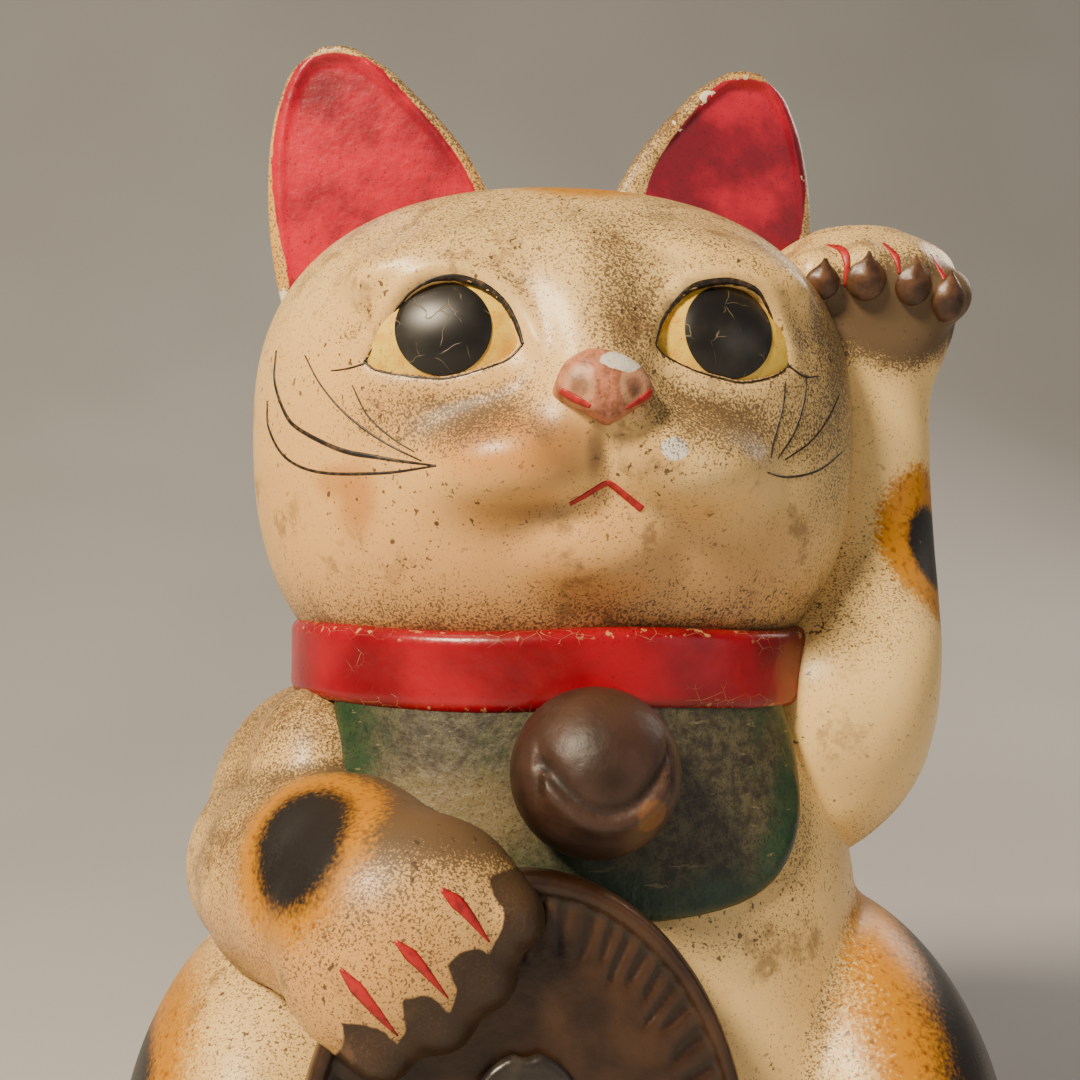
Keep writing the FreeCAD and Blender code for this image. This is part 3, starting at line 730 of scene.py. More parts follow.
pupil_black = Finish("black pupil paint")
cracks = pupil_black.add("ShaderNodeTexVoronoi", feature="DISTANCE_TO_EDGE")
bent = pupil_black.add("ShaderNodeTexNoise")
pupil_black.feed(bent.inputs["Vector"], pupil_black.place)
bent.inputs["Scale"].default_value = 0.25
pupil_black.feed(cracks.inputs["Vector"],
                 pupil_black.vector("ADD", pupil_black.place, pupil_black.scaled(bent.outputs["Color"], 2.4)))
cracks.inputs["Scale"].default_value = 0.21
line = pupil_black.fade(cracks.outputs["Distance"], 0.004, 0.016, 1.0, 0.0)
broken = pupil_black.fade(pupil_black.noise(0.22, 2.0), 0.46, 0.62, 0.0, 0.8)
crazed = pupil_black.calc("MULTIPLY", line, broken)
dusty = pupil_black.mottled((0.12, 4.0), (0.4, 0.8), linear(24, 22, 20), linear(58, 54, 48))
pupil_black.done(
    pupil_black.mix(crazed, dusty, linear(132, 118, 92)),
    pupil_black.fade(crazed, 0.0, 1.0, 0.36, 0.6), pupil_black.calc("SUBTRACT", 0.0, crazed), 0.12,
)


def eyeball(p, side):
    s = EYE_SIGN[side]
    return oval(p, (s * 21.8, -33.4, 170.8), (16.5, 9.3, 12.5), [("Z", s * 21.0), ("X", -15.0)])


def front_y(shape, x, z, start=-75.0, end=-20.0):
    """How far forward a clay shape comes at x and z."""
    y = np.full(len(x), start)
    for _ in range(60):
        gap = shape(np.stack([x, y, z], 1))
        y = np.minimum(y + np.maximum(gap, 0) * 0.7, end)
    return y


for side in ("right", "left"):
    s = EYE_SIGN[side]
    ball = clay(side + "_eyeball", lambda p: eyeball(p, side), (s * 22 - 20, -50, 155),
                (s * 22 + 20, -20, 186), 0.8)
    ball.data.materials.append(eye_yellow.material)
    place(ball, "cat", "eye_painted_clay", side + "_eye")
    (cx, cz), (rx, rz) = PUPIL[side]
    rings, spokes = 9, 56
    turn = np.arange(spokes) * 2 * math.pi / spokes
    share = np.array([0.0] + [((r + 1) / rings) for r in range(rings) for _ in range(spokes)])
    angle = np.concatenate([[0.0]] + [turn] * rings)
    x = cx + rx * share * np.cos(angle)
    z = cz + rz * share * np.sin(angle)
    y = front_y(lambda p: eyeball(p, side), x, z)
    dome = 0.75 * np.sqrt(np.clip(1 - share**2 * 0.93, 0, 1))
    points = np.stack([x, y - dome, z], 1)
    pupil = thick_sheet(side + "_pupil", points, disc_faces(rings, spokes), (0, 1, 0), 1.2)
    pupil.data.materials.append(pupil_black.material)
    place(pupil, "cat", "eye_painted_clay")

# ---- painted lines on the face ---------------------------------------------------------------
# Whiskers, lid lines and the mouth, each a stroke of thick paint drawn with a fine brush; the thick middle of
# each upper lid line is also painted shadow under the lid.

bpy.context.view_layer.update()


def surface(piece):
    """A tree that finds points on a finished piece."""
    mesh = piece.data
    return BVHTree.FromPolygons([v.co.copy() for v in mesh.vertices],
                                [tuple(p.vertices) for p in mesh.polygons])


def strokes(name, tree, lines, paint, slot, toward=(0, 1, 0), proud=0.13, plane=-20.0):
    """Raised brush strokes. Each line is (points, widths): x and z in mm, and widths at its points."""
    verts, faces = [], []
    ahead = Vector(toward).normalized()
    for points, widths in lines:
        path = smooth_line(points, count=10)
        wide = np.interp(np.linspace(0, 1, len(path)), np.linspace(0, 1, len(widths)), widths)
        rows = []
        for i, (x, z) in enumerate(path):
            nxt, prv = path[min(i + 1, len(path) - 1)], path[max(i - 1, 0)]
            run = (nxt - prv) / max(np.linalg.norm(nxt - prv), 1e-6)
            aside = np.array([-run[1], run[0]]) * wide[i] / 2
            row = []
            for share in (-1.0, -0.5, 0.5, 1.0):
                at = Vector((x + aside[0] * share, plane, z + aside[1] * share)) / 1000 - ahead * 0.07
                hit, normal, _, _ = tree.ray_cast(at, ahead)
                if hit is None:
                    break
                row.append((hit, normal))
            if len(row) == 4:
                rows.append(row)
        if len(rows) < 2:
            continue
        base = len(verts)
        for row in rows:
            lift = (-0.02, proud, proud, -0.02)
            verts.extend(hit + normal * (rise / 1000) for (hit, normal), rise in zip(row, lift))
            verts.append((row[0][0] + row[3][0]) / 2 - row[1][1] * 0.0003)
        for i in range(len(rows) - 1):
            a, b = base + 5 * i, base + 5 * (i + 1)
            for k in range(5):
                n = (k + 1) % 5
                faces.append((a + k, a + n, b + n, b + k))
        last = base + 5 * (len(rows) - 1)
        faces.append((base + 4, base + 3, base + 2, base + 1, base))
        faces.append((last, last + 1, last + 2, last + 3, last + 4))
    mesh = bpy.data.meshes.new(name)
    mesh.from_pydata(verts, [], faces)
    form = bmesh.new()
    form.from_mesh(mesh)
    bmesh.ops.recalc_face_normals(form, faces=form.faces)
    form.to_mesh(mesh)
    form.free()
    mesh.polygons.foreach_set("use_smooth", [True] * len(mesh.polygons))
    mesh.update()
    piece = bpy.data.objects.new(name, mesh)
    bpy.context.collection.objects.link(piece)
    piece.data.materials.append(paint)
    place(piece, "cat", slot)
    return piece


line_black = Finish("black line paint")
line_black.done(
    line_black.mottled((1.0, 3.0), (0.45, 0.75), linear(30, 25, 21), linear(92, 70, 50)), 0.42
)
line_red = Finish("red line paint")
line_red.done(
    line_red.mottled((0.9, 4.0), (0.4, 0.75), linear(186, 30, 34), linear(124, 26, 26)), 0.42
)
head_skin = surface(head)
strokes(
    "whiskers", head_skin,
    [
        ([(-23.5, 150.8), (-31.5, 152.3), (-37.4, 153.7), (-43.6, 157.1), (-46.1, 160.0), (-47.9, 165.4),
          (-47.7, 170.6)],
         (0.3, 0.85, 0.7, 0.5, 0.25)),
        ([(-23.5, 150.8), (-31.5, 150.0), (-40.5, 150.4), (-46.0, 153.0), (-48.9, 158.0), (-49.2, 162.6)],
         (0.3, 0.55, 0.5, 0.4, 0.2)),
        ([(-25.5, 151.6), (-31.5, 155.0), (-36.7, 159.2), (-40.5, 164.0), (-42.9, 168.8)],
         (0.25, 0.4, 0.3, 0.2)),
        ([(-26.5, 153.0), (-30.0, 155.4), (-33.4, 158.8), (-35.6, 163.4)], (0.2, 0.3, 0.3, 0.2)),
        ([(27.7, 152.6), (29.3, 156.9), (30.6, 161.0), (30.9, 164.6)], (0.25, 0.4, 0.3, 0.2)),
        ([(29.4, 152.6), (32.5, 156.3), (34.6, 161.2), (35.5, 166.0)], (0.3, 0.45, 0.35, 0.2)),
        ([(30.9, 152.4), (36.0, 155.4), (40.1, 159.3), (43.4, 163.7)], (0.3, 0.4, 0.35, 0.2)),
        ([(26.7, 150.2), (32.0, 149.8), (38.3, 151.2), (44.9, 154.8)], (0.3, 0.45, 0.4, 0.2)),
    ],
    line_black.material, "black_painted_clay",
)


def grown(points, side, by):
    """The lid line moved out from the eye's middle, on to the lid's edge."""
    middle = np.array([EYE_SIGN[side] * 22.0, 170.5])
    pts = np.array(points)
    away = pts - middle
    return pts + away / np.linalg.norm(away, axis=1)[:, None] * by


# the upper lid lines swell to 1.3 mm toward the inner corner: black paint and painted shadow under the lid
lid_lines_and_shadow = []
for side in ("right", "left"):
    lid_lines_and_shadow.append((grown(UPPER_LID[side], side, 0.25), (0.35, 0.3, 0.45, 1.0, 1.3, 0.9, 0.5)))
    lid_lines_and_shadow.append((grown(LOWER_LID[side], side, 0.25), (0.4, 0.3, 0.4, 0.35, 0.35)))
lid_lines_and_shadow.append(([(-33.4, 166.7), (-35.5, 166.1), (-37.4, 165.9), (-38.8, 165.9)], (0.4, 0.35, 0.2)))
lid_lines_and_shadow.append(([(31.6, 167.2), (33.9, 166.0), (35.8, 165.7), (38.0, 166.1)], (0.4, 0.45, 0.3)))
strokes("lid_lines_and_shadow", head_skin, lid_lines_and_shadow, line_black.material, "black_painted_clay")
strokes(
    "mouth", head_skin,
    [([(-4.2, 145.2), (-1.4, 146.8), (1.0, 148.2), (2.0, 148.0), (4.2, 146.3), (6.6, 144.5)],
      (0.7, 0.95, 0.9, 1.0, 1.1))],
    line_red.material, "red_painted_clay",
)

# ---- nose ------------------------------------------------------------------------------------
# A small pad pressed on the bridge, with two nostril hollows and a ridge between them. Its pink
# paint is rubbed, and a chip shows the white ground.

NOSE_LOOP = smooth_line(
    [(-7.0, 160.9), (-6.3, 163.5), (-5.2, 165.6), (-3.3, 167.0), (-1.1, 167.6), (1.1, 167.2),
     (3.3, 166.5), (5.4, 165.2), (7.0, 163.3), (7.6, 160.9), (4.6, 158.7), (2.2, 157.2),
     (0.6, 156.4), (-1.0, 157.0), (-2.6, 158.0), (-4.8, 159.3)],
    closed=True, count=3,
)


def nose_form(p):
    rim = outline(p[:, [0, 2]], NOSE_LOOP)
    front = oval(p, (0.2, -47.5, 161.6), (9.6, 9.2, 8.4))
    pad = -join(-rim, -front, 1.6)
    for s in (-1, 1):
        pad = carve(pad, roll(p, (s * 3.4, -57.6, 163.4), (s * 4.9, -56.4, 160.9), 0.8, 1.2), 0.8)
        pad = join(pad, roll(p, (s * 1.7, -55.4, 163.6), (s * 1.9, -55.4, 158.8), 0.75, 0.6), 0.8)
    pad = carve(pad, roll(p, (0.1, -58.0, 165.0), (0.3, -57.4, 157.8), 0.7, 0.6), 0.9)
    return np.maximum(pad, p[:, 1] + 44.0)


nose = clay("nose_pad", nose_form, (-10, -60, 153), (10, -42, 171), 0.42)
pink = Finish("rubbed pink paint")
rosy = pink.mottled((0.45, 4.0, 0.65), (0.38, 0.66), linear(204, 130, 98), linear(140, 84, 58))
for side in (-1, 1):
    around = pink.away((side * 4.0, -56.0, 161.7), (1.7, 6.0, 2.3), 0.3, 0.4)
    rosy = pink.mix(pink.fade(around, 1.5, 1.2, 0.0, 0.5), rosy, linear(214, 168, 124))
    rosy = pink.mix(pink.fade(around, 0.95, 0.5, 0.0, 0.55), rosy, linear(104, 62, 44))
# painted shade: the nose darkens in its hollows
rosy = pink.mix(pink.calc("MULTIPLY", pink.mark("hollow"), 0.7), rosy, linear(84, 54, 38))
bare = pink.away((2.4, -54.0, 165.4), (3.4, 8.0, 1.7), 0.35, 0.45)
rosy = pink.mix(pink.fade(bare, 1.02, 0.94), rosy, linear(222, 216, 200))
film = pink.sooted(Clean=rosy, Film=SOOT_BROWN, Amount=0.22, Grain=0.7)
pink.done(film.outputs["Color"], 0.45, pink.noise(0.9, 4.0), 0.3)
nose.data.materials.append(pink.material)
place(nose, "cat", "pink_painted_clay", "nose")
nose_skin = surface(nose)
strokes(
    "nose_edge", nose_skin,
    [([(-6.3, 161.2), (-4.5, 160.0), (-2.4, 158.8)], (0.9, 1.2, 0.6)),
     ([(6.9, 161.2), (5.1, 159.9), (2.8, 158.6)], (1.2, 1.1, 0.5))],
    line_red.material, "red_painted_clay",
)

# ---- ears ------------------------------------------------------------------------------------
# Two upright ears with a shallow dished front, luted behind the brow. The dish is painted red, and
# the rims are chipped down to the white ground.

EAR = [
    (176.0, 7.0, 47.0, 12.0),
    (190.0, 8.0, 50.0, 11.0),
    (203.0, 11.5, 51.0, 9.5),
    (212.0, 17.2, 50.4, 8.0),
    (219.7, 24.2, 48.6, 6.0),
    (225.2, 30.2, 45.6, 4.0),
    (227.8, 34.6, 42.0, 1.6),
]
EAR_OUTLINE = smooth_line(
    [(inner, z) for z, inner, _, _ in EAR] + [(outer, z) for z, _, outer, _ in EAR[::-1]],
    closed=True, count=4,
)


LINING = {
    side: smooth_line(
        [(EAR[k][1] + inner[k], EAR[k][0]) for k in range(6)] + [(36.4, 226.6), (40.6, 226.6)]
        + [(EAR[k][2] - outer[k], EAR[k][0]) for k in range(5, -1, -1)],
        closed=True, count=4,
    )
    for side, inner, outer in (
        (-1, (2.4, 2.2, 1.9, 1.8, 1.6, 1.2), (5.0, 2.4, 0.9, 0.6, 0.6, 0.6)),
        (1, (9.0, 7.0, 4.8, 3.4, 2.6, 1.8), (9.0, 4.4, 1.6, 0.7, 0.6, 0.6)),
    )
}


def ear_local(p, side):
    """Points in the frame of an ear on the cat's left that faces straight ahead."""
    q = p * np.array([side, 1.0, 1.0]) - np.array([31.0, 4.0, 0.0])
    if side > 0:
        q[:, 0] += 1.6 * np.clip((q[:, 2] - 198.0) / 29.0, 0, 1)
        q[:, 2] = 178.0 + (q[:, 2] - 178.0) * 1.03
    return q @ turned([("Z", 12.0)]) + np.array([31.0, 0.0, 0.0])


def ear_form(p, side):
    q = ear_local(p, side)
    levels = [(z, (o - i) / 2, 3.0, b, 2.3, (o + i) / 2, 0.0) for z, i, o, b in EAR]
    shell = stack(q, levels)
    rim = outline(q[:, [0, 2]], EAR_OUTLINE)
    depth = np.clip((-rim - 0.9) / 2.6, 0, 1)
    dish = q[:, 1] + 3.2 - 1.7 * depth * depth * (3 - 2 * depth)
    return np.maximum(carve(shell, dish, 0.6), 179.6 - p[:, 2])


def ear_paint(name, side):
    coat = Finish(name)
    cream = coat.mottled((0.05, 3.0), (0.35, 0.7), CREAM, WARM_CREAM)
    film = coat.sooted(Clean=cream, Film=SOOT_BROWN, Grain=1.0)
    coat.feed(film.inputs["Amount"], coat.calc("ADD", facing_up(coat, -0.3, 0.8, 0.5), 0.42))
    ragged = coat.calc("MULTIPLY", coat.calc("SUBTRACT", coat.noise(0.4, 4.0), 0.5), 0.6)
    inside = coat.calc("ADD", coat.mark("inner"), ragged)
    red = coat.mottled((0.06, 4.0, 0.6), (0.36, 0.66), linear(206, 16, 50), linear(128, 6, 32))
    grimy = coat.sooted(Clean=red, Film=linear(92, 26, 26), Amount=0.2, Grain=0.8)
    colour = coat.mix(coat.fade(inside, 0.05, 0.35), film.outputs["Color"], grimy.outputs["Color"])
    worn = coat.aged(Color=colour, Pinholes=0.4, Chips=0.35)
    chips = coat.calc("MULTIPLY", coat.mark("edge"), coat.fade(coat.noise(0.2, 4.0), 0.64, 0.67))
    final = coat.mix(coat.fade(chips, 0.25, 0.4), worn.outputs["Color"], linear(238, 226, 200))
    return coat.done(final, coat.fade(inside, 0.0, 0.4, 0.42, 0.3), coat.noise(0.6, 4.0), 0.2)


for side in ("right", "left"):
    s = EYE_SIGN[side]
    ear = clay(
        side + "_ear_piece", lambda p: ear_form(p, s), (min(s * 2, s * 56), -10, 178),
        (max(s * 2, s * 56), 22, 232), 0.75,
        marks={"inner": lambda v: np.where(ear_local(v, s)[:, 1] < 1.5,
                                           -outline(ear_local(v, s)[:, [0, 2]], LINING[s]), -3)},
    )
    ear.data.materials.append(ear_paint(side + " ear paint", side))
    place(ear, "cat", "painted_clay", side + "_ear")

# ---- raised arm ------------------------------------------------------------------------------
# The cat's left arm, cast hollow and luted to the shoulder, with four toes curled forward at the
# top. Dark pads are dabbed on the toes, and red claw lines lie in the grooves between them.

RAISED = [
    (84.0, 4.0, 5.0, 5.0, 2.0, 44.0, -8.0),
    (87.0, 9.0, 11.0, 10.0, 2.0, 43.8, -8.0),
    (91.5, 13.6, 16.0, 15.5, 2.1, 44.2, -8.0),
    (99.0, 17.3, 20.5, 19.5, 2.2, 45.6, -8.0),
    (107.0, 18.8, 24.0, 21.0, 2.2, 46.4, -8.0),
    (120.0, 19.0, 24.6, 20.5, 2.2, 48.0, -7.0),
    (130.0, 17.4, 20.5, 19.0, 2.2, 51.0, -4.0),
    (140.0, 15.6, 16.5, 16.5, 2.2, 53.8, -1.0),
    (156.2, 14.4, 14.5, 14.5, 2.2, 55.3, 1.0),
    (166.2, 14.2, 14.0, 13.5, 2.2, 55.8, 1.0),
    (178.2, 17.0, 16.5, 14.0, 2.3, 56.6, 0.0),
    (186.5, 17.4, 15.0, 12.5, 2.3, 57.0, -1.0),
    (193.0, 14.0, 11.5, 9.0, 2.2, 56.4, -1.5),
    (196.2, 8.0, 7.0, 5.0, 2.0, 56.0, -1.5),
]
TOES = [(44.4, 185.6), (52.1, 187.2), (60.6, 186.6), (67.6, 183.0)]
TOE_SIZE = [5.0, 5.4, 5.4, 5.0]
PADS = [(44.4, 184.6, 3.1, 3.5), (52.1, 185.2, 3.6, 4.3), (60.6, 184.6, 3.3, 4.3), (67.0, 182.0, 2.9, 4.6)]


def raised_form(p):
    arm = stack(p, RAISED)
    for (x, z), size in zip(TOES, TOE_SIZE):
        toe = roll(p, (x, -13.4, z), (x + (57 - x) * 0.25, -1.0, z + 4.5 - abs(x - 57) * 0.12), size,
                   size * 0.85)
        arm = join(arm, toe, 2.6)
    return carve(arm, oval(p, (56.0, -21.0, 177.0), (13.0, 4.6, 3.6)), 5.0)


def raised_amount(coat):
    top = facing_up(coat, 0.0, 0.95, 0.5)
    # soot and painted shade on the downward-facing palm under the toes
    palm_soot_and_shade = coat.fade(coat.away((61.0, -18.0, 179.5), (20.0, 13.0, 10.0), 0.15), 1.35, 0.4, 0.0, 1.7)
    # painted shade under the arm, where it meets the shoulder
    under = coat.fade(coat.away((52.0, -8.0, 90.0), (24.0, 24.0, 9.0), 0.15), 1.4, 0.3, 0.0, 0.4)
    return coat.calc("ADD", coat.calc("ADD", top, palm_soot_and_shade), coat.calc("ADD", under, 0.04))


raised = clay("raised_arm_piece", raised_form, (24, -34, 82), (80, 24, 202), 0.95)
raised.data.materials.append(
    cream_paint(
        "cream raised arm paint", raised_amount, warm=0.22, pinholes=0.35,
        patches=[((65.5, -13.0, 138.6), (12.0, 15.0, 14.6), (6.2, 10.0, 7.8), 0.12),
                 ((56.0, 14.0, 112.0), (12, 10, 14), (7, 8, 8), 0.2)],
        last=lambda coat, colour: coat.mix(
            coat.fade(coat.away((76.0, -9.0, 180.0), (6.5, 10.0, 9.5), 0.15, 0.15), 1.15, 0.75, 0.0, 0.92),
            colour, linear(44, 29, 20)
        ),
    )
)
place(raised, "cat", "painted_clay", "raised_arm")

pad_brown = Finish("dark pad paint")
umber = pad_brown.mottled((0.3, 4.0), (0.35, 0.7), linear(58, 38, 26), linear(104, 70, 46))
pad_brown.done(umber, 0.36, pad_brown.noise(0.9, 4.0), 0.2)


def pads_form(p):
    best = np.full(len(p), 99.0)
    for x, z, half, tall in PADS:
        y = -18.2 + abs(x - 55) * 0.03
        drop = oval(p, (x, y + 0.7, z - 0.4), (half, 1.7, tall * 0.85), [("X", 8.0)])
        drop = join(drop, roll(p, (x, y, z), (x + 0.3, y - 0.1, z + tall * 0.95), half * 0.5, 0.4), 1.2)
        best = np.minimum(best, drop)
    return best


pads = clay("toe_pads", pads_form, (36, -26, 176), (78, -10, 196), 0.5)
pads.data.materials.append(pad_brown.material)
place(pads, "cat", "black_painted_clay", "paw_pads")

raised_skin = surface(raised)
strokes(
    "raised_claws", raised_skin,
    [([(48.5, 183.6), (48.6, 188.0), (47.8, 192.0), (46.9, 194.0)], (0.6, 1.4, 1.3, 0.6)),
     ([(57.8, 185.2), (57.4, 188.6), (56.2, 192.8)], (0.5, 1.3, 0.8)),
     ([(66.2, 183.6), (65.8, 186.8), (64.6, 190.6)], (0.5, 1.3, 0.7))],
    line_red.material, "red_painted_clay", toward=(0, 1, -0.55), plane=-17.0,
)

# ---- lowered arm -----------------------------------------------------------------------------
# The cat's right arm, pressed to the chest with its paw laid on the coin. The toe ends are brushed
# dark, which leaves cream points between them, and each point carries a red claw.

PAW = np.array([-28.2, -57.0, 85.0])
PAW_TURN = turned([("Y", -44.0)])


FOREARM = [
    ((-45.6, -13.0, 86.5), 17.0), ((-41.5, -27.0, 87.0), 17.2), ((-36.5, -38.0, 87.4), 16.9),
    ((-31.5, -48.0, 87.0), 15.4), ((-28.5, -54.0, 86.4), 12.0)
]


def lowered_form(p):
    arm = oval(p, (-41.0, -3.0, 89.5), (19.5, 22.0, 26.0))
    arm = join(arm, oval(p, (-41.0, -16.0, 99.0), (12.0, 17.0, 17.0)), 3.0)
    fore = np.full(len(p), 99.0)
    for (start, thick), (end, thin) in zip(FOREARM[:-1], FOREARM[1:]):
        fore = join(fore, roll(p, start, end, thick, thin), 2.0)
    arm = join(arm, fore, 1.8)
    arm = join(arm, oval(p, PAW, (18.0, 10.5, 15.0), [("Y", -44.0)]), 6.5)
    q = paw_local(p)
    for k in range(4):
        x = -12.6 + 8.4 * k
        arm = join(arm, oval(q, (x, -0.3, -10.2 + 0.02 * x * x), (4.6, 7.6, 5.8)), 2.2)
    return arm


def paw_local(p):
    return (p - PAW) @ PAW_TURN


TOE_PAINT = np.array([
    (0.0, 97.0), (-10.8, 95.4), (-13.4, 95.0), (-17.6, 95.0), (-16.9, 92.3), (-15.6, 90.3),
    (-16.0, 87.8), (-17.6, 84.9), (-19.3, 86.2), (-21.8, 85.8), (-23.4, 84.4), (-22.0, 80.3),
    (-22.9, 77.2), (-24.8, 80.0), (-26.8, 80.6), (-29.2, 80.2), (-29.1, 77.2), (-28.6, 75.6),
    (-29.8, 73.2), (-31.7, 75.6), (-33.9, 76.4), (-37.0, 76.6), (-36.8, 73.3), (-40.0, 66.0),
    (-10.0, 50.0), (10.0, 80.0),
])


def dark_toes(v):
    """How far inside the dark paint of the toe ends a point is, from its zigzag edge."""
    return np.where(v[:, 1] < -45, -outline(v[:, [0, 2]], TOE_PAINT), -5.0)


def lowered_amount(coat):
    top = facing_up(coat, -0.2, 0.95, 0.45)
    ridge = coat.fade(coat.away((-24.0, -48.0, 102.0), (20.0, 18.0, 8.5), 0.12), 1.4, 0.3, 0.0, 1.3)
    # painted shade under the upper arm, where it meets the haunch
    under = coat.fade(coat.away((-50.0, -20.0, 70.0), (18.0, 24.0, 10.0), 0.12), 1.4, 0.3, 0.0, 0.8)
    return coat.calc("ADD", coat.calc("ADD", top, ridge), coat.calc("ADD", under, 0.38))


def toe_dark(coat, colour):
    """The tan hand, the scorched look above its spot, and the dark toe ends."""
    for centre, reach, shade, most in (
        ((-34.0, -52.0, 84.0), (30.0, 30.0, 20.0), linear(224, 160, 84), 0.85),
        ((-35.0, -44.0, 100.0), (10.0, 14.0, 5.0), linear(204, 112, 8), 0.9),
        ((-52.0, -30.0, 76.0), (16.0, 20.0, 10.0), linear(190, 140, 90), 0.7),
    ):
        colour = coat.mix(coat.fade(coat.away(centre, reach, 0.16, 0.16), 1.3, 0.35, 0.0, most), colour,
                          shade)
    past = coat.calc("ADD", coat.mark("toe"),
                     coat.calc("MULTIPLY", coat.calc("SUBTRACT", coat.noise(0.7, 3.0), 0.5), 0.6))
    return coat.mix(coat.fade(past, -0.15, 0.25), colour, linear(50, 31, 19))


lowered = clay("lowered_arm_piece", lowered_form, (-68, -74, 58), (-4, 24, 121), 0.9,
               marks={"toe": dark_toes})
lowered.data.materials.append(
    cream_paint(
        "cream lowered arm paint", lowered_amount, extra=toe_dark, warm=0.55,
        patches=[((-40.6, -48.0, 94.6), (12.0, 18.0, 13.4), (9.0, 15.0, 9.6), 0.14)],
    )
)
place(lowered, "cat", "painted_clay", "lowered_arm")
lowered_skin = surface(lowered)
strokes(
    "lowered_claws", lowered_skin,
    [([(-24.0, 94.0), (-21.0, 91.2), (-17.6, 86.6)], (0.6, 2.0, 1.3, 0.3)),
     ([(-30.1, 87.9), (-27.0, 84.8), (-23.2, 79.8)], (0.6, 1.9, 1.2, 0.3)),
     ([(-37.2, 84.0), (-34.0, 80.2), (-29.7, 74.6)], (0.6, 2.1, 1.5, 0.3))],
    line_red.material, "red_painted_clay",
)

# ---- hind feet and tail ----------------------------------------------------------------------
# Low toes that show below the coin on each side, and a short tail against the back. They are solid
# clay, pressed on before firing.


def foot_form(p, side):
    foot = oval(p, (side * 33.0, -50.0, 7.0), (15.5, 20.0, 11.0), [("Z", -side * 6.0)])
    for k in (-1, 0, 1):
        x = side * 34.0 + 6.5 * k
        foot = carve(foot, roll(p, (x, -74.0, 3.0), (x, -58.0, 19.0), 0.8, 0.4), 1.4)
    return np.maximum(foot, -p[:, 2])


for side in ("right", "left"):
    s = EYE_SIGN[side]
    foot = clay(side + "_foot", lambda p: foot_form(p, s), (s * 33 - 20, -73, -2), (s * 33 + 20, -26, 21),
                0.8, crisp=True)
    foot.data.materials.append(cream_paint(side + " foot paint",
                                           lambda coat: coat.calc("ADD", facing_up(coat, 0.0, 0.9, 0.35),
                                                                  0.15)))
    place(foot, "cat", "painted_clay", side + "_hind_foot")


def tail_form(p):
    stub = oval(p, (20.0, 50.0, 11.0), (22.0, 11.0, 11.5), [("Z", -16.0)])
    return np.maximum(stub, -p[:, 2])


tail = clay("tail_piece", tail_form, (-6, 32, -2), (46, 64, 26), 0.9, crisp=True)
tail.data.materials.append(
    cream_paint(
        "tail paint", lambda coat: coat.calc("ADD", facing_up(coat, 0.0, 0.9, 0.4), 0.2),
        patches=[((32.0, 52.0, 12.0), (13.0, 14.0, 14.0), (8.0, 12.0, 10.0), 0.2)],
    )
)
place(tail, "cat", "painted_clay", "tail")

# ---- collar ----------------------------------------------------------------------------------
# A flat band of clay pressed over the neck seam and painted red. The paint has crazed along both
# edges, and the pale ground shows in the cracks.

COLLAR_RING = (46.0, 43.8, 40.6)
COLLAR_Z = 120.0
COLLAR_HALF_TALL = 6.3


def collar_form(p):
    ring = stack(p, [(100.0, *COLLAR_RING), (140.0, *COLLAR_RING)])
    sag = 0.5 * np.sin(p[:, 0] * 0.11 + 0.6) + 0.4 * np.sin(p[:, 0] * 0.05 + p[:, 1] * 0.09)
    high = np.abs(p[:, 2] - COLLAR_Z - sag) - COLLAR_HALF_TALL
    swell = 0.5 * np.exp(-(((p[:, 0] + 38) / 8) ** 2 + ((p[:, 2] - 114) / 3) ** 2))
    band = -join(-(ring - swell), -high, 2.4)
    return carve(band, ring + 7.0, 0.5)


collar = clay("collar", collar_form, (-52, -50, 110), (52, 47, 131), 0.85)
collar_red = Finish("red collar paint")
red = collar_red.mottled((0.05, 4.0), (0.35, 0.7), linear(172, 2, 28), linear(112, 1, 16))
above = collar_red.calc("SUBTRACT", collar_red.height_of(collar_red.place), COLLAR_Z)
rim = collar_red.fade(collar_red.calc("ABSOLUTE", above), 3.0, 6.4)
net = collar_red.add("ShaderNodeTexVoronoi", feature="DISTANCE_TO_EDGE")
collar_red.feed(net.inputs["Vector"], collar_red.vector("MULTIPLY", collar_red.place, (1.0, 1.0, 1.5)))
net.inputs["Scale"].default_value = 0.3
crack = collar_red.fade(net.outputs["Distance"], 0.003, 0.011, 1.0, 0.0)
some = collar_red.fade(collar_red.calc("ADD", collar_red.noise(0.1, 3.0),
                                       collar_red.calc("MULTIPLY", rim, 0.24)), 0.6, 0.78, 0.0, 0.7)
crack = collar_red.calc("MULTIPLY", crack, some)
edge = collar_red.calc("MULTIPLY", collar_red.fade(collar_red.mark("edge"), 0.2, 0.34),
                       collar_red.fade(collar_red.noise(0.6, 4.0), 0.64, 0.67, 0.0, 0.6))
red = collar_red.mix(collar_red.calc("MAXIMUM", crack, edge), red, linear(222, 176, 120))
film = collar_red.sooted(Clean=red, Film=linear(74, 14, 18), Grain=0.6)
collar_red.feed(film.inputs["Amount"], collar_red.calc("MULTIPLY", rim, 0.35))
collar_red.done(film.outputs["Color"], 0.27, collar_red.calc("SUBTRACT", collar_red.noise(0.3, 4.0), crack),
                0.25)
collar.data.materials.append(collar_red.material)
place(collar, "cat", "red_painted_clay", "collar_band")

# ---- bib -------------------------------------------------------------------------------------
# A sheet of clay laid on the chest like a cloth bib, painted green. The green has worn through to
# brown in the middle and stays bright along the edges.

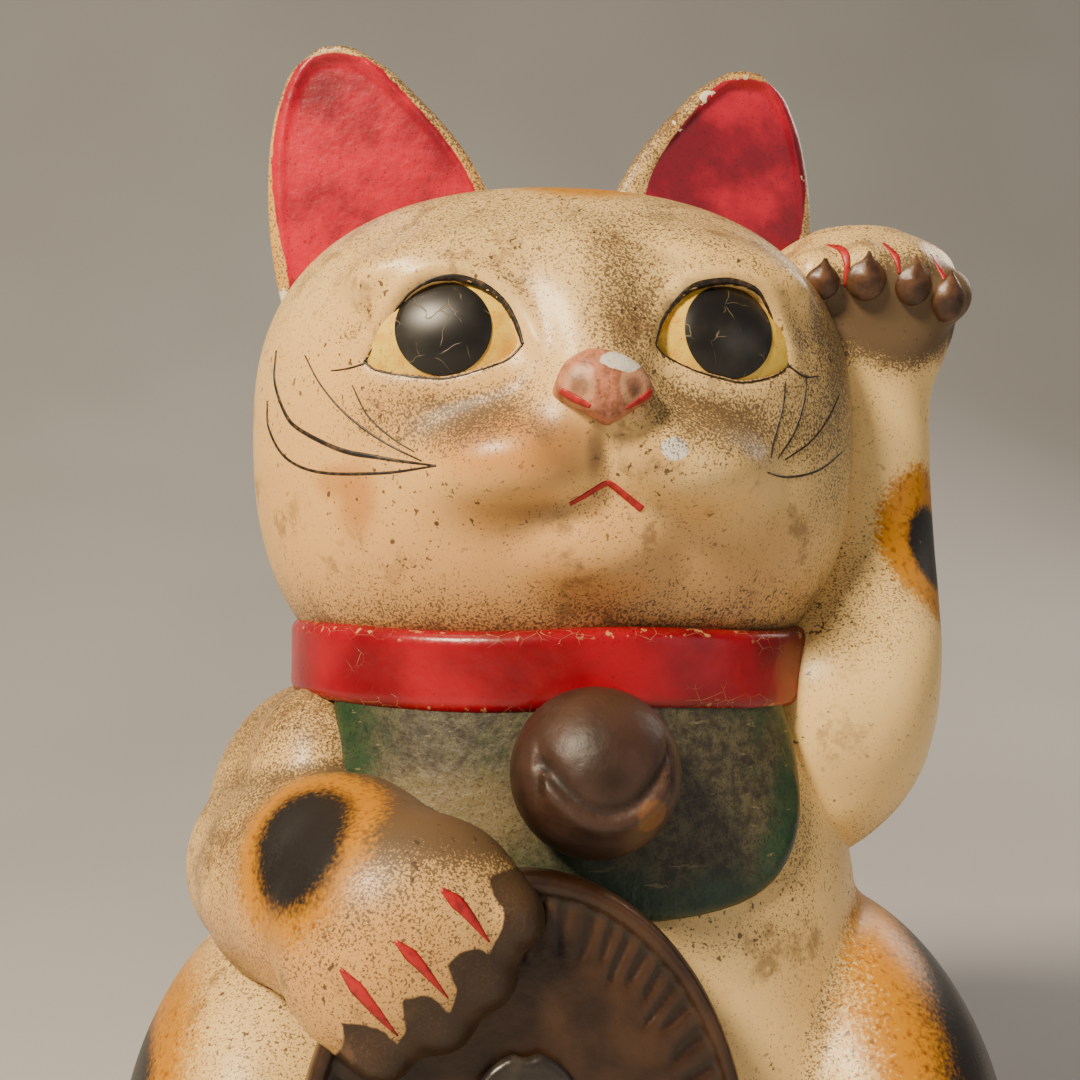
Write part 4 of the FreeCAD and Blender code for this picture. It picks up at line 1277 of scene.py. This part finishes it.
BIB_LOOP = smooth_line(
    [(-38.6, 122.0), (-38.6, 110.0), (-37.6, 103.0), (-34.0, 95.0), (-27.0, 88.0), (-15.0, 84.4),
     (0.0, 83.4), (14.0, 83.6), (25.0, 85.6), (31.5, 90.0), (35.0, 97.0), (35.4, 106.0),
     (33.6, 114.0), (32.0, 122.0)],
    count=4,
)


def bib_form(p):
    shell = torso(p) - 2.1
    rim = outline(p[:, [0, 2]], BIB_LOOP)
    sheet = -join(-shell, -rim, 1.8)
    sheet = np.maximum(sheet, p[:, 1] + 8.0)
    return carve(sheet, torso(p) + 2.0, 0.5)


bib = clay("bib_piece", bib_form, (-44, -54, 80), (44, -4, 122), 0.85,
           marks={"rim": lambda v: -outline(v[:, [0, 2]], BIB_LOOP)})
bib_green = Finish("worn green paint")
worn = bib_green.calc("ADD", bib_green.noise(0.06, 6.0, 0.65),
                      bib_green.calc("MULTIPLY", bib_green.fade(bib_green.mark("rim"), 0.5, 9.0), 0.2))
green = bib_green.mottled((0.25, 5.0), (0.3, 0.7), linear(30, 62, 38), linear(52, 74, 44))
brown = bib_green.mottled((0.5, 5.0, 0.7), (0.35, 0.65), linear(50, 42, 30), linear(92, 86, 60))
blend = bib_green.mix(bib_green.fade(worn, 0.5, 0.72), green, brown)
corner = bib_green.fade(bib_green.away((-22.0, -40.0, 99.0), (17.0, 20.0, 8.0), 0.35, 0.12), 1.2, 0.4, 0.0,
                        0.6)
blend = bib_green.mix(corner, blend, linear(140, 118, 74))
scuff = bib_green.noise(0.5, 3.0, 0.5, stretch=(0.25, 1.0, 2.4))
blend = bib_green.mix(bib_green.fade(scuff, 0.66, 0.72, 0.0, 0.5), blend, linear(150, 138, 100))
film = bib_green.sooted(Clean=blend, Film=linear(24, 20, 14), Amount=0.4, Grain=0.8)
marked = bib_green.aged(Color=film.outputs["Color"], Pinholes=0.2, Chips=0.32)
bib_green.done(marked.outputs["Color"], bib_green.fade(worn, 0.4, 0.7, 0.28, 0.46),
               bib_green.noise(0.4, 6.0, 0.6), 0.5)
bib.data.materials.append(bib_green.material)
place(bib, "cat", "green_painted_clay", "bib")

# ---- bell ------------------------------------------------------------------------------------
# A solid clay ball made to look like a jingle bell: a curved mouth with a raised lip is modelled on
# its front. It was gilded once, and is now brown.

BELL_MIDDLE = np.array([-0.8, -51.0, 106.4])
BELL_RADIUS = 12.4
MOUTH_HALF = 8.9


def bell_form(p):
    q = p - BELL_MIDDLE
    ball = np.linalg.norm(q, axis=1) - BELL_RADIUS
    front = q[:, 1] < 0
    across, up = q[:, 0], q[:, 2]
    x = np.clip(across, -MOUTH_HALF, MOUTH_HALF)
    slant = np.sqrt(1 + (0.16 * x) ** 2)
    beyond = np.abs(across) - MOUTH_HALF
    off = (up - (-4.4 + 0.08 * x * x)) / slant
    off = np.where(beyond > 0, np.hypot(beyond, off), off)
    ridge = 1.0 * np.exp(-(((off + 1.4) / 1.5) ** 2)) * np.exp(-((np.maximum(beyond, 0) / 1.2) ** 2))
    groove = 0.6 * np.exp(-(((off - 0.9) / 1.1) ** 2)) * np.exp(-((np.maximum(beyond, 0) / 0.8) ** 2))
    dimple = 0.8 * np.exp(-((np.hypot(across + 8.6, up - 2.2) / 1.0) ** 2))
    return ball - np.where(front, ridge - groove - dimple, 0.0)


bell = clay("bell_piece", bell_form, (-15, -65, 92), (14, -37, 121), 0.6)
bell_brown = Finish("brown bell paint")
bronze = bell_brown.mottled((0.1, 5.0), (0.35, 0.7), linear(70, 46, 34), linear(40, 22, 11))
gold = bell_brown.away((5.3, -60.0, 102.0), (2.6, 6.0, 2.6), 0.3, 0.4)
bronze = bell_brown.mix(bell_brown.fade(gold, 1.15, 0.8, 0.0, 0.7), bronze, linear(128, 84, 44))
film = bell_brown.sooted(Clean=bronze, Film=linear(28, 16, 9), Grain=0.7)
# soot and painted shade, heavier in the hollows of the mouth and dimple
bell_brown.feed(film.inputs["Amount"],
                bell_brown.calc("ADD", bell_brown.calc("MULTIPLY", bell_brown.mark("hollow"), 1.0), 0.15))
bell_brown.done(film.outputs["Color"], bell_brown.fade(film.outputs["Mask"], 0.0, 1.0, 0.48, 0.62),
                bell_brown.noise(0.5, 5.0), 0.3)
bell.data.materials.append(bell_brown.material)
place(bell, "cat", "brown_painted_clay", "bell")

# ---- coin ------------------------------------------------------------------------------------
# The big oval gold coin under the paw, a pressed clay plate with a rim and short strokes round its
# edge. Its gilding has gone brown. The blossom in the middle is a raised plaque in dark paint.

COIN_MIDDLE = np.array([-12.0, -61.0, 51.5])
COIN_TURN = turned([("X", -4.0)])
COIN_HALF_WIDE = 32.0
COIN_HALF_TALL = 42.5


def coin_local(p):
    return (p - COIN_MIDDLE) @ COIN_TURN


def coin_strokes(angle, out):
    """Short grooves pressed round the coin, 1 in a groove."""
    wave = 0.5 + 0.5 * np.cos(angle * 60 + 1.2 * np.sin(angle * 7) + 0.7 * np.sin(angle * 17))
    inner = 0.72 + 0.04 * np.sin(angle * 23)
    return wave**1.5 * np.clip((out - inner) / 0.07, 0, 1) * np.clip((0.93 - out) / 0.03, 0, 1)


def stroke_mark(v):
    q = coin_local(v)
    u, w = q[:, 0] / COIN_HALF_WIDE, q[:, 2] / COIN_HALF_TALL
    return coin_strokes(np.arctan2(w, u), np.hypot(u, w)) * (q[:, 1] < 3)


def coin_form(p):
    q = coin_local(p)
    u, v = q[:, 0] / COIN_HALF_WIDE, q[:, 2] / COIN_HALF_TALL
    out = np.hypot(u, v)
    edge = (out - 1) * 34.0
    angle = np.arctan2(v, u)
    face = 1.25 + 0.5 * coin_strokes(angle, out) - 1.2 * np.clip((out - 0.915) / 0.03, 0,
                                                                 1) * np.clip((1.0 - out) / 0.02, 0, 1)
    plate = np.maximum(face - q[:, 1], q[:, 1] - 6.0)
    return -join(-plate, -edge, 1.0)


coin = clay("coin_piece", coin_form, (-47, -68, 6), (23, -48, 97), 0.7, marks={"stroke": stroke_mark})
coin_brown = Finish("brown gilt paint")
gilt = coin_brown.mottled((0.1, 5.0), (0.35, 0.7), linear(70, 46, 28), linear(38, 22, 12))
gilt = coin_brown.mix(coin_brown.fade(coin_brown.mark("stroke"), 0.15, 0.75, 0.0, 0.85), gilt,
                      linear(34, 20, 12))
film = coin_brown.sooted(Clean=gilt, Film=linear(30, 19, 12), Grain=0.5)
# soot and painted shade, heavier in the grooves and hollows
coin_brown.feed(film.inputs["Amount"],
                coin_brown.calc("ADD", coin_brown.calc("MULTIPLY", coin_brown.mark("hollow"), 0.8), 0.2))
coin_brown.done(film.outputs["Color"], 0.34, coin_brown.noise(0.4, 5.0), 0.3)
coin.data.materials.append(coin_brown.material)
place(coin, "cat", "brown_painted_clay", "coin")


PETAL_OUT = 10.7
PETAL_RADIUS = 7.4
NOTCH_OUT = 19.4


def crest_form(p):
    q = coin_local(p)
    best = np.hypot(q[:, 0], q[:, 2]) - PETAL_RADIUS
    for k in range(5):
        a = math.radians(90 + 72 * k)
        petal = np.hypot(q[:, 0] - PETAL_OUT * math.cos(a), q[:, 2] - PETAL_OUT * math.sin(a)) - PETAL_RADIUS
        notch = np.hypot(q[:, 0] - NOTCH_OUT * math.cos(a), q[:, 2] - NOTCH_OUT * math.sin(a)) - 2.0
        petal = carve(petal, notch, 0.6)
        best = np.minimum(best, petal)
    plate = np.maximum(-1.2 - q[:, 1], q[:, 1] - 1.3)
    best = -join(-plate, -best, 1.1)
    ring = np.abs(np.hypot(q[:, 0], q[:, 2]) - 4.6) - 0.5
    return carve(best, np.maximum(ring, np.abs(q[:, 1] + 1.4) - 0.9), 0.5)


crest = clay("coin_blossom", crest_form, (-32, -66, 30), (8, -55, 74), 0.55)
crest_black = Finish("dark crest paint")
ink = crest_black.mottled((0.2, 5.0), (0.4, 0.75), linear(44, 40, 38), linear(84, 74, 62))
film = crest_black.sooted(Clean=ink, Film=linear(22, 17, 13), Amount=0.3, Grain=0.6)
crest_black.done(film.outputs["Color"], 0.32, crest_black.noise(0.5, 5.0), 0.3)
crest.data.materials.append(crest_black.material)
place(crest, "cat", "black_painted_clay", "coin_crest")

# ---- stopper ---------------------------------------------------------------------------------
# A moulded rubber plug for the hole in the base: a tapered shank, a lip and a bar to pull it by.

def stopper_form(p):
    out = np.hypot(p[:, 0], p[:, 1] - HOLE_Y)
    shank = np.maximum(out - (16.9 - 0.08 * (p[:, 2] - 4.5)), np.maximum(p[:, 2] - 12.5, 4.0 - p[:, 2]))
    lip = -join(-(out - 20.0), -(np.abs(p[:, 2] - 4.05) - 0.85), 0.5)
    plug = join(shank, lip, 0.4)
    plug = carve(plug, np.maximum(out - 13.9, 6.5 - p[:, 2]), 0.5)
    ends = np.maximum(np.abs(p[:, 0]) - 11.9, 0)
    tab = np.maximum(np.hypot(ends, np.maximum(np.abs(p[:, 1] - HOLE_Y) - 1.0, 0)) - 0.2,
                     np.abs(p[:, 2] - 2.0) - 1.5)
    return join(plug, tab, 0.4)


stopper = clay("stopper_piece", stopper_form, (-22, -20, -1), (22, 24, 14), 0.6, crisp=True)
rubber = Finish("old brown rubber")
tone = rubber.mottled((0.2, 5.0), (0.35, 0.7), linear(120, 84, 58), linear(88, 60, 42))
film = rubber.sooted(Clean=tone, Film=linear(52, 38, 28), Amount=0.3, Grain=0.8)
rubber.done(film.outputs["Color"], 0.62, rubber.noise(0.8, 4.0), 0.2)
stopper.data.materials.append(rubber.material)
place(stopper, "stopper", "rubber", "base_stopper")

# ---- studio ----------------------------------------------------------------------------------
# A pale seamless sweep, a warm soft key from the upper left, a weak fill, a rim lamp from behind, and
# the camera close to the cat, level with its chin and a little to its right.

sweep = bpy.data.meshes.new("sweep")
profile = [(-1.6, 0.0)] + [
    (0.3 + 1.1 * math.sin(math.radians(a)), 1.1 - 1.1 * math.cos(math.radians(a))) for a in range(0, 91, 5)
] + [(1.4, 2.8)]
rows = [(x, y, z) for x in (-2.4, 2.4) for y, z in profile]
n = len(profile)
sweep.from_pydata(rows, [], [(i, n + i, n + i + 1, i + 1) for i in range(n - 1)])
sweep.polygons.foreach_set("use_smooth", [True] * (n - 1))
sweep.update()
floor = bpy.data.objects.new("sweep", sweep)
bpy.context.collection.objects.link(floor)
backdrop = Finish("pale paper")
paper = backdrop.mottled((0.004, 2.0), (0.3, 0.7), (0.50, 0.49, 0.475), (0.54, 0.53, 0.515))
floor.data.materials.append(backdrop.done(paper, 0.85))


def lamp(name, place_at, aim, size, power, colour):
    data = bpy.data.lights.new(name, "AREA")
    data.shape = "DISK"
    data.size = size
    data.energy = power
    data.color = colour
    light = bpy.data.objects.new(name, data)
    light.location = place_at
    light.rotation_euler = (Vector(aim) - Vector(place_at)).to_track_quat("-Z", "Y").to_euler()
    bpy.context.collection.objects.link(light)


lamp("key", (-0.62, -0.62, 0.86), (0, 0, 0.13), 0.26, 25.0, (1.0, 0.83, 0.6))
lamp("fill", (0.9, -0.9, 0.35), (0, 0, 0.12), 0.9, 1.3, (1.0, 0.95, 0.95))
lamp("rim", (0.7, 0.5, 0.6), (0, 0, 0.16), 0.4, 3.0, (1.0, 0.9, 0.78))

world = bpy.data.worlds.new("studio")
bpy.context.scene.world = world
world.use_nodes = True
world.node_tree.nodes["Background"].inputs["Color"].default_value = (0.62, 0.61, 0.6, 1.0)
world.node_tree.nodes["Background"].inputs["Strength"].default_value = 0.24

CAMERA_BACK = 0.260
CAMERA_ASIDE = 0.00215
CAMERA_HEIGHT = 0.140
LENS = 48.333333
turn = math.radians(-7.5)
back = Vector((math.sin(turn), -math.cos(turn), 0.0))
right = Vector((math.cos(turn), math.sin(turn), 0.0))
camera_data = bpy.data.cameras.new("camera")
camera_data.sensor_width = 36.0
camera_data.lens = LENS
camera_data.clip_start = 0.02
camera = bpy.data.objects.new("camera", camera_data)
camera.location = back * CAMERA_BACK - right * CAMERA_ASIDE + Vector((0.0, 0.0, CAMERA_HEIGHT))
camera.rotation_euler = (math.radians(90.0), 0.0, turn)
bpy.context.collection.objects.link(camera)
bpy.context.scene.camera = camera
